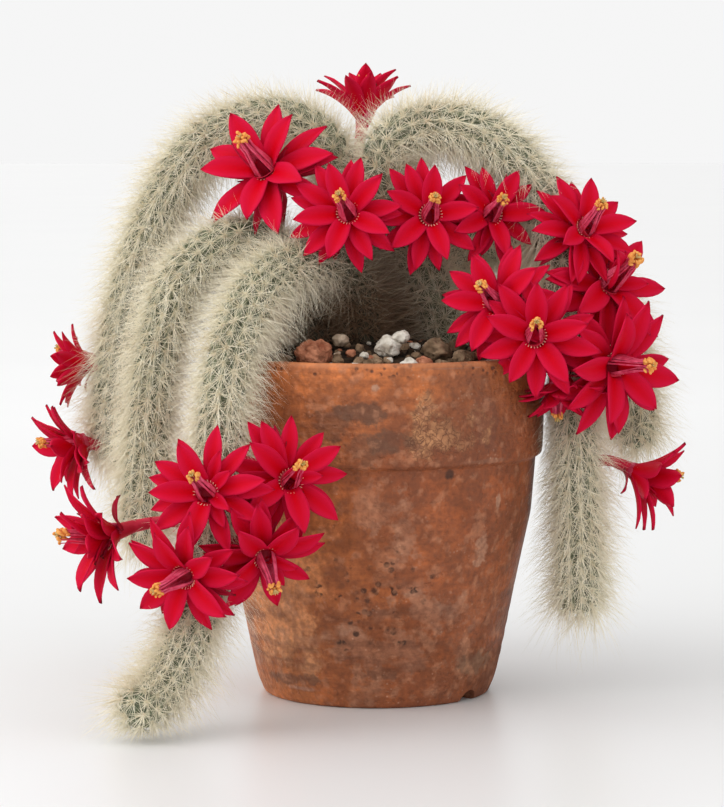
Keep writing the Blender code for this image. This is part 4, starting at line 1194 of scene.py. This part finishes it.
def make_bristles(name, stem, tufts, trees, materials):
    """A tuft at every areole, each needle cut short where something lies in its way."""
    rng = random.Random(name)
    bm = bmesh.new()
    for ring in range(1, len(stem.frames)):
        place, side, up, way = stem.frames[ring]
        from_pot = place - AXIS
        if place.z < bed_height(from_pot.x, from_pot.y) and from_pot.to_2d().length < RIM_RADIUS - WALL:
            continue
        for rib in range(RIBS):
            if not has_areole(ring, rib) or (stem.radii[ring] < DOME_TOP and rib % DOME_TOP_RIBS):
                continue
            turn = rib / RIBS * math.tau
            outward = side * math.cos(turn) + up * math.sin(turn)
            root = place + outward * stem.radii[ring] * (1.0 + RIB_DEPTH)
            normal = (outward - way * stem.slopes[ring]).normalized()
            ahead = (way - normal * way.dot(normal)).normalized() if stem.radii[ring] > 0.0 else side
            tuft, shape, needles = rng.choice(tufts)
            spin = Matrix.Rotation(rng.uniform(0, math.tau), 3, "Z")
            points = shape @ np.array(spin).T * rng.uniform(*TUFT_SIZES)
            points[:, 0] += points[:, 2] * TUFT_LEAN
            points = points @ np.array((ahead, normal.cross(ahead), normal))
            points[:, 2] -= TUFT_SAG * (points ** 2).sum(axis=1)
            points += np.array(root)
            near = [tree for tree in trees if tree.find_nearest(root, TUFT_REACH)[0] is not None]
            shorten(points, needles, near)
            tuft.vertices.foreach_set("co", points.astype(np.float32).ravel())
            bm.from_mesh(tuft)
    piece = mesh_object(name + "_bristles", bm, materials)
    finish_piece(piece, name)


def shorten(points, needles, trees):
    """Draws back the tip of each needle to what is clear."""
    for *base, end in needles:
        root = Vector(points[base].mean(axis=0))
        tip = Vector(points[end])
        share = clear_share(root, tip, trees)
        if share < 1.0:
            points[end] = root.lerp(tip, max(SHORTEST_NEEDLE, share * CLEAR_USED))


# Blooms

def bend(blade, share):
    """A point at this share of a blade's arc, and the way to its back there."""
    place = Vector((0.0, PETAL_ROOT, 0.0))
    turn = blade.tip_angle - blade.root_angle
    whole = share * BEND_STEPS
    for i in range(math.ceil(whole)):
        part = min(1.0, whole - i)
        angle = math.radians(blade.root_angle + turn * (i + 0.5) / BEND_STEPS)
        place = place + Vector((math.cos(angle), math.sin(angle), 0.0)) * blade.length / BEND_STEPS * part
    angle = math.radians(blade.root_angle + turn * share)
    return place, Vector((-math.sin(angle), math.cos(angle), 0.0))


def blade_width(blade, share):
    """Half the blade's width: widening in a smooth curve, then narrowing to a point."""
    if share < blade.widest:
        rise = math.sin(share / blade.widest * math.pi / 2)
        return blade.half_width * (blade.waist + (1.0 - blade.waist) * rise)
    return blade.half_width * (1.0 - ((share - blade.widest) / (1.0 - blade.widest)) ** POINT_POWER)


def make_blade(blade, form):
    """A thin closed petal: cupped, folded a little along its middle, with slightly waved edges."""
    rng = random.Random(form)
    bm = bmesh.new()
    across = bm.verts.layers.float.new("across")
    along = bm.verts.layers.float.new("along")
    wave = rng.uniform(0, WAVE_SHIFT)
    curl = rng.uniform(*PETAL_CURL) * MM
    twist = rng.uniform(-PETAL_TWIST, PETAL_TWIST)
    bmesh.ops.create_grid(bm, x_segments=BLADE_ACROSS, y_segments=BLADE_ALONG, size=0.5)
    for vert in bm.verts:
        aside = vert.co.x * 2
        share = blade.start + (vert.co.y + 0.5) * (1.0 - blade.start)
        vert[across] = aside
        vert[along] = share
        place, back = bend(blade, share)
        wide = blade_width(blade, share)
        rise = blade.cup * wide * aside * aside + PETAL_FOLD * abs(aside) - curl * share ** 3
        waved = math.sin(share * PETAL_WAVES + wave) * PETAL_FOLD * abs(aside) * share
        rise += waved + twist * aside * wide * share
        vert.co = place - back * rise + Vector((0, 0, aside * wide))
    bmesh.ops.remove_doubles(bm, verts=bm.verts, dist=MERGE)
    bmesh.ops.recalc_face_normals(bm, faces=bm.faces)
    bmesh.ops.solidify(bm, geom=bm.faces[:], thickness=blade.thick)
    bmesh.ops.recalc_face_normals(bm, faces=bm.faces)
    for face in bm.faces:
        face.smooth = True
    mesh = bpy.data.meshes.new("blade")
    bm.to_mesh(mesh)
    bm.free()
    return mesh


def bloom_frame(throat, facing, lean):
    """Columns: X along the bloom's axis, Y the way that its stamens lean, Z across."""
    axis = facing.normalized()
    up = (lean - axis * lean.dot(axis)).normalized()
    across = axis.cross(up)
    matrix = Matrix((axis, up, across)).transposed().to_4x4()
    matrix.translation = throat
    return matrix


def petal_matrix(whorl, azimuth, lift, size):
    """Places a blade round the axis of its whorl's frame, turned up at its root by the lift."""
    hinge = Vector((0.0, PETAL_ROOT, 0.0))
    turn = Matrix.Translation(hinge) @ Matrix.Rotation(lift, 4, "Z") @ Matrix.Scale(size, 4)
    return whorl @ Matrix.Rotation(azimuth, 4, "X") @ turn @ Matrix.Translation(-hinge)


def whorl_frame(matrix, line, back):
    """The bloom's frame, moved to the point of the tube this far behind the throat."""
    moved, here = matrix.copy(), line[-1]
    for before in reversed(line[:-1]):
        gap = (here - before).length
        if back <= gap:
            break
        back, here = back - gap, before
    moved.translation = here.lerp(before, min(1.0, back / gap))
    return moved


def fitted_blade(whorl, blade, azimuth, tilt, size, solid):
    """The blade's placing that lies nearest to the solid bloom's own petal, or None where it has none."""
    best, best_miss = None, STRAY
    samples = [bend(blade, share)[0] for share in FIT_SHARES]
    for shrink in SHRINKS:
        for lift in LIFTS:
            matrix = petal_matrix(whorl, azimuth, math.radians(tilt + lift), size * shrink)
            miss = sum(solid.find_nearest(matrix @ point)[3] for point in samples) / len(samples)
            if miss < best_miss - CLEARLY_NEARER:
                best, best_miss = matrix, miss
    return best


def free_blade(whorl, blade, azimuth, tilt, size, skins):
    """The blade's placing, or None where it would touch a stem or leave the model's box."""
    matrix = petal_matrix(whorl, azimuth, math.radians(tilt), size)
    for share in FREE_SHARES:
        point = matrix @ bend(blade, share)[0]
        if any(skin.find_nearest(point)[3] < CLEARANCE for skin in skins):
            return None
        if any(not low < value < high for low, value, high in zip(SOLID_BOX[0], point, SOLID_BOX[1])):
            return None
    return matrix


def add_petals(bm, matrix, line, bloom, blades, rng, solid, skins):
    """Whorls over their counterparts in the solid bloom, and petals behind where no stem is in the way."""
    for blade, (back, first), count in WHORLS:
        whorl = whorl_frame(matrix, line, back)
        for i in range(count):
            azimuth = first + i * math.tau / count + rng.uniform(-AZIMUTH_STRAY, AZIMUTH_STRAY)
            tilt = bloom.opening + rng.uniform(-TILT_STRAY, TILT_STRAY)
            size = bloom.size * rng.uniform(*PETAL_SIZES)
            if blade in (BACK_PETAL, BRACT):
                fitted = free_blade(whorl, blade, azimuth, tilt, size, skins)
            else:
                fitted = fitted_blade(whorl, blade, azimuth, tilt, size, solid)
            if fitted is None:
                continue
            petal = blades[blade][i % BLADE_FORMS].copy()
            petal.transform(fitted)
            before = len(bm.faces)
            bm.from_mesh(petal)
            bpy.data.meshes.remove(petal)
            paint_from(bm, before, SEPAL_RED if blade in (SEPAL, BRACT) else PETAL_RED)


def tube_line(seat, normal, throat, axis):
    """A short stub square to the stem, then a bend into the bloom's axis, up to the throat."""
    stub = seat + normal * STUB
    bulge = (normal - axis) * (throat - stub).length * TUBE_BEND
    middle = (stub + throat) / 2 + bulge
    return [seat, stub, middle, throat]


def add_tube(bm, line, axis, size):
    """The floral tube: up its outside to the lip, then down its inside to a closed bottom."""
    sunk = line[0] - (line[1] - line[0]) * TUBE_SINK
    smooth = smooth_line([sunk, *line[1:]], TUBE_STEP)
    places, radii = [], []
    for share, radius in TUBE_OUTSIDE:
        places.append(smooth[round((1.0 - share) * (len(smooth) - 1))])
        radii.append(radius * MM)
    outside = frames_along(places)
    rim_side, rim_up = outside[-1][1], outside[-1][2]
    inside = []
    for forward, radius in TUBE_INSIDE:
        inside.append((line[-1] + axis * forward * MM, rim_side, rim_up, axis))
        radii.append(radius * MM * (size if radius > TUBE_THROAT else 1.0))
    sweep(bm, [outside[0], *outside, *inside], [0.0, *radii], TUBE_SIDES)


def add_filaments(bm, matrix, size, rng):
    """A fan of filaments from one side of the lip, which draw together and curve outward, and their ends."""
    ends = []
    for i in range(FILAMENT_COUNT):
        turn = FILAMENT_FAN * (2 * i / (FILAMENT_COUNT - 1) - 1.0)
        longer = rng.uniform(*FILAMENT_LONGER)
        stray = Vector((0.0, *(rng.uniform(-FILAMENT_STRAY, FILAMENT_STRAY) for _ in range(2))))
        points, radii = [], []
        for k, (forward, aside, spread, radius) in enumerate(FILAMENT_WAY):
            share = k / (len(FILAMENT_WAY) - 1)
            local = Vector(
                (forward + longer * share, aside + spread * math.cos(turn), spread * math.sin(turn)))
            points.append(matrix @ ((local + stray * share) * MM * size))
            radii.append(radius * MM)
        frames = frames_along(points)
        sweep(bm, [frames[0], *frames, frames[-1]], [0.0, *radii, 0.0], FILAMENT_SIDES)
        ends.append((points[-1], frames[-1][3]))
    return ends


def add_teeth(bm, matrix, size):
    """The ring of short pale stumps round the lip."""
    forward, out = TOOTH_PLACE
    inward = Matrix.Rotation(TOOTH_LEAN, 4, "Z") @ Matrix.Rotation(math.pi / 2, 4, "Y")
    stand = inward @ Matrix.Translation((0, 0, TOOTH_LENGTH * TOOTH_MIDDLE))
    for i in range(TEETH):
        place = Matrix.Rotation(i * math.tau / TEETH, 4, "X") @ Matrix.Translation((forward, out * size, 0))
        bmesh.ops.create_cone(
            bm, cap_ends=True, segments=4, radius1=TOOTH_RADIUS, radius2=TOOTH_RADIUS * TOOTH_TAPER,
            depth=TOOTH_LENGTH, matrix=matrix @ place @ stand)


def add_tube_hairs(bm, line, rng):
    """Fine bristles on the outside of the tube, slanting towards the petals."""
    frames = frames_along(smooth_line(line, TUBE_STEP))
    for i in range(TUBE_HAIRS):
        share = TUBE_HAIRS_FROM + TUBE_HAIRS_SPAN * i / TUBE_HAIRS
        place, side, up, way = frames[round(share * (len(frames) - 1))]
        turn = i * GOLDEN_ANGLE + rng.uniform(-TUBE_HAIR_STRAY, TUBE_HAIR_STRAY)
        outward = side * math.cos(turn) + up * math.sin(turn)
        slanted = outward + way * rng.uniform(*TUBE_HAIR_SLANTS)
        length = rng.uniform(*TUBE_HAIR_LENGTHS) * MM
        root = Matrix.Translation(place + outward * TUBE_HAIR_ROOT)
        add_needle(bm, length, TUBE_HAIR_RADIUS, root @ stand_along(slanted))


def stand_along(way):
    """The turn that takes Z to the way."""
    return way.to_track_quat("Z", "Y").to_matrix().to_4x4()


def make_bloom(name, bloom, skins, solid, blades, petal_looks, anther_looks):
    """One bloom's petals, tube and filaments, which it returns, and its cluster of anthers."""
    rng = random.Random(name)
    matrix = bloom_frame(from_axis(bloom.throat), Vector(bloom.facing), Vector(bloom.stamens))
    axis, throat = matrix.col[0].to_3d(), matrix.translation.copy()
    place, normal = skins[bloom.stem].find_nearest(from_axis(bloom.seat))[:2]
    line = tube_line(place, normal, throat, axis)
    bm = bmesh.new()
    bm.verts.layers.float.new("across")
    bm.verts.layers.float.new("along")
    add_petals(bm, matrix, line, bloom, blades, rng, solid, skins.values())
    first = len(bm.faces)
    add_tube(bm, line, axis, bloom.size)
    paint_from(bm, first, TUBE_RED)
    first = len(bm.faces)
    ends = add_filaments(bm, matrix, bloom.size, rng)
    paint_from(bm, first, FILAMENT_PINK)
    first = len(bm.faces)
    add_teeth(bm, matrix, bloom.size)
    paint_from(bm, first, LIP_PINK)
    first = len(bm.faces)
    add_tube_hairs(bm, line, rng)
    paint_from(bm, first, TUBE_HAIR)
    bmesh.ops.recalc_face_normals(bm, faces=bm.faces)
    piece = mesh_object(name + "_petals", bm, petal_looks)
    finish_piece(piece, name)
    make_anthers(name.replace("bloom", "anthers"), ends, bloom.size, rng, anther_looks)
    return piece


def paint_from(bm, first, slot, smooth=True):
    """Gives every face from this one on a material slot and its shading."""
    bm.faces.ensure_lookup_table()
    for face in bm.faces[first:]:
        face.material_index = slot
        face.smooth = smooth


def make_anthers(name, ends, size, rng, materials):
    """A grain-like anther on each filament, and the pale lobes of the stigma in their middle."""
    bm = bmesh.new()
    for place, way in ends:
        lie = Vector([rng.uniform(-1, 1) for _ in range(3)])
        grain = Matrix.Diagonal((*(Vector(ANTHER_SIZE) * size * rng.uniform(*ANTHER_SIZES)), 1.0))
        middle = Matrix.Translation(place + way * ANTHER_AHEAD)
        bmesh.ops.create_icosphere(
            bm, subdivisions=2, radius=1.0, matrix=middle @ stand_along(way + lie * ANTHER_STRAY) @ grain)
    paint_from(bm, 0, ANTHER_YELLOW)
    centre = sum((place for place, _ in ends), Vector()) / len(ends)
    forward = sum((way for _, way in ends), Vector()).normalized()
    stand = Matrix.Translation(centre + forward * STIGMA_AHEAD) @ stand_along(forward)
    first = len(bm.faces)
    for i in range(STIGMA_LOBES):
        spread = Matrix.Rotation(i * math.tau / STIGMA_LOBES, 4, "Z") @ Matrix.Rotation(STIGMA_SPREAD, 4, "X")
        bmesh.ops.create_cone(
            bm, cap_ends=True, segments=5, radius1=LOBE_RADII[0], radius2=LOBE_RADII[1], depth=LOBE_LENGTH,
            matrix=stand @ spread @ Matrix.Translation((0, 0, LOBE_LENGTH / 2)))
    paint_from(bm, first, STIGMA_GREEN)
    piece = mesh_object(name + "_cluster", bm, materials)
    finish_piece(piece, name)


def tree_of(obj):
    """The object's surface, for finding what is near it or in a needle's way."""
    bpy.context.view_layer.update()
    return BVHTree.FromObject(obj, bpy.context.evaluated_depsgraph_get())


# Studio

def make_studio():
    """A pale floor reaching far out, under the sky, with the window's light and a weaker one to fill."""
    bm = bmesh.new()
    bmesh.ops.create_circle(bm, cap_ends=True, segments=64, radius=FLOOR_RADIUS)
    material, tree, shader = new_material("studio_white", 0.34)
    shader.inputs["Specular IOR Level"].default_value = 0.45
    clouded = placed(tree, BLOTCHES, Scale=2.0, From=0.2, To=0.8)
    tone = mixed(tree, clouded, (0.77, 0.77, 0.77), (0.80, 0.80, 0.795))
    tree.links.new(tone, shader.inputs["Base Color"])
    away = add_node(tree, "VectorMath", {0: object_place(tree)}, operation="LENGTH")
    glow = mixed(tree, ramped(tree, away.outputs["Value"], *GLOW_REACH), (0.0, 0.0, 0.0), FAR_GLOW)
    tree.links.new(glow, shader.inputs["Emission Color"])
    shader.inputs["Emission Strength"].default_value = 1.0
    mesh_object("studio_floor", bm, [material])
    make_sky()
    for name, place, size, power in LIGHTS:
        add_light(name, place, size, power)


def make_sky():
    """Seen directly the sky is an even white. As light it is strongest from the left."""
    world = bpy.data.worlds.new("studio_light")
    world.use_nodes = True
    tree = world.node_tree
    background = tree.nodes["Background"]
    way = add_node(tree, "TexCoord", {}).outputs["Generated"]
    toward = add_node(tree, "VectorMath", {0: way, 1: SKY_BRIGHT_WAY}, operation="DOT_PRODUCT")
    side = add_node(
        tree, "MapRange",
        {"Value": toward.outputs["Value"], "From Min": -1.0, "To Min": SKY_DIM, "To Max": SKY_BRIGHT})
    seen = add_node(tree, "LightPath", {}).outputs["Is Camera Ray"]
    choice = add_node(
        tree, "MapRange", {"Value": seen, "To Min": side.outputs["Result"], "To Max": SKY_SEEN})
    tree.links.new(choice.outputs["Result"], background.inputs["Strength"])
    background.inputs["Color"].default_value = (1.0, 1.0, 1.0, 1.0)
    bpy.context.scene.world = world


def add_light(name, place, size, power):
    """A square soft light at the place, turned to the plant."""
    light = bpy.data.lights.new(name, "AREA")
    light.size = size
    light.energy = power
    obj = link(bpy.data.objects.new(name, light))
    obj.location = place
    obj.rotation_euler = (LIGHT_AIM - Vector(place)).to_track_quat("-Z", "Y").to_euler()


def make_camera():
    """The photograph's camera."""
    camera = bpy.data.cameras.new("camera")
    camera.sensor_fit = "VERTICAL"
    camera.sensor_height = FILM_HEIGHT
    camera.lens = LENS
    obj = link(bpy.data.objects.new("camera", camera))
    obj.location = AXIS + CAMERA_PLACE
    obj.rotation_euler = (math.pi / 2 - CAMERA_DOWN, 0, 0)
    bpy.context.scene.camera = obj
    bpy.context.scene.view_settings.view_transform = "Standard"


make_camera()
make_studio()

solid_trees = {name: tree_of(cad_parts[name]) for name in ("pot", "gravel", *BLOOMS)}
stone_materials = [
    plain_material(
        "pumice_white", 0.9, 150.0, (0.46, 0.40, 0.32), (0.84, 0.79, 0.70), 0.0018, spots=(0.22, 0.16, 0.11)),
    plain_material("pumice_tan", 0.9, 170.0, (0.36, 0.25, 0.17), (0.66, 0.52, 0.39), 0.0018),
    plain_material("stone_brown", 0.9, 150.0, (0.11, 0.066, 0.036), (0.34, 0.225, 0.14), 0.0020),
    plain_material("lava_red", 0.9, 190.0, (0.24, 0.070, 0.034), (0.55, 0.23, 0.13), 0.0022),
    plain_material("damp_grit", 0.95, 260.0, (0.010, 0.006, 0.004), (0.060, 0.036, 0.020), 0.0012),
]
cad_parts["soil"].data.materials.clear()
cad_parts["soil"].data.materials.append(
    plain_material("potting_mix", 0.98, 180.0, (0.012, 0.008, 0.006), (0.07, 0.045, 0.03), 0.001))
make_pot(terracotta_material())
make_gravel(stone_materials)

green = skin_material()
hair_materials = [
    hair_material("bristle_cream", (0.80, 0.73, 0.55), (0.97, 0.91, 0.76)),
    hair_material("areole_wool", (0.74, 0.56, 0.43), (0.88, 0.74, 0.60)),
    hair_material("spine_grey", (0.57, 0.55, 0.41), (0.84, 0.80, 0.63)),
]
petal_looks = [
    petal_material("petal_red", (0.62, 0.0, 0.006), (0.65, 0.012, 0.065), (0.32, 0.006, 0.022)),
    petal_material("sepal_red", (0.38, 0.003, 0.018), (0.44, 0.016, 0.05), (0.085, 0.07, 0.035)),
    plain_material("tube_red", 0.5, 120.0, (0.42, 0.004, 0.022), (0.56, 0.020, 0.055), 0.0002),
    plain_material("filament_pink", 0.5, 300.0, (0.60, 0.03, 0.09), (0.80, 0.12, 0.22), 0.0001),
    plain_material("lip_pink", 0.6, 400.0, (0.86, 0.30, 0.24), (0.95, 0.55, 0.42), 0.0001),
    plain_material("tube_hair", 0.6, 300.0, (0.78, 0.42, 0.36), (0.92, 0.72, 0.60), 0.0001),
]
anther_looks = [
    plain_material("anther_yellow", 0.7, 500.0, (0.72, 0.25, 0.05), (0.90, 0.45, 0.12), 0.0003),
    plain_material("stigma_green", 0.6, 400.0, (0.50, 0.36, 0.10), (0.70, 0.52, 0.24), 0.0002),
]
blades = {
    blade: [make_blade(blade, form) for form in range(BLADE_FORMS)]
    for blade in (INNER_PETAL, OUTER_PETAL, BACK_PETAL, SEPAL, BRACT)
}
stems = {name: lay_out_stem(name) for name in STEMS}
skins = {name: tree_of(make_skin(name, stem, green)) for name, stem in stems.items()}
bloom_trees = [
    tree_of(make_bloom(name, bloom, skins, solid_trees[name], blades, petal_looks, anther_looks))
    for name, bloom in BLOOMS.items()
]

tufts = [make_tuft(kind) for kind in range(TUFT_KINDS)]
in_the_way = [solid_trees["pot"], solid_trees["gravel"], *bloom_trees]
for name, stem in stems.items():
    others = [skin for other, skin in skins.items() if other != name]
    make_bristles(name, stem, tufts, in_the_way + others, hair_materials)
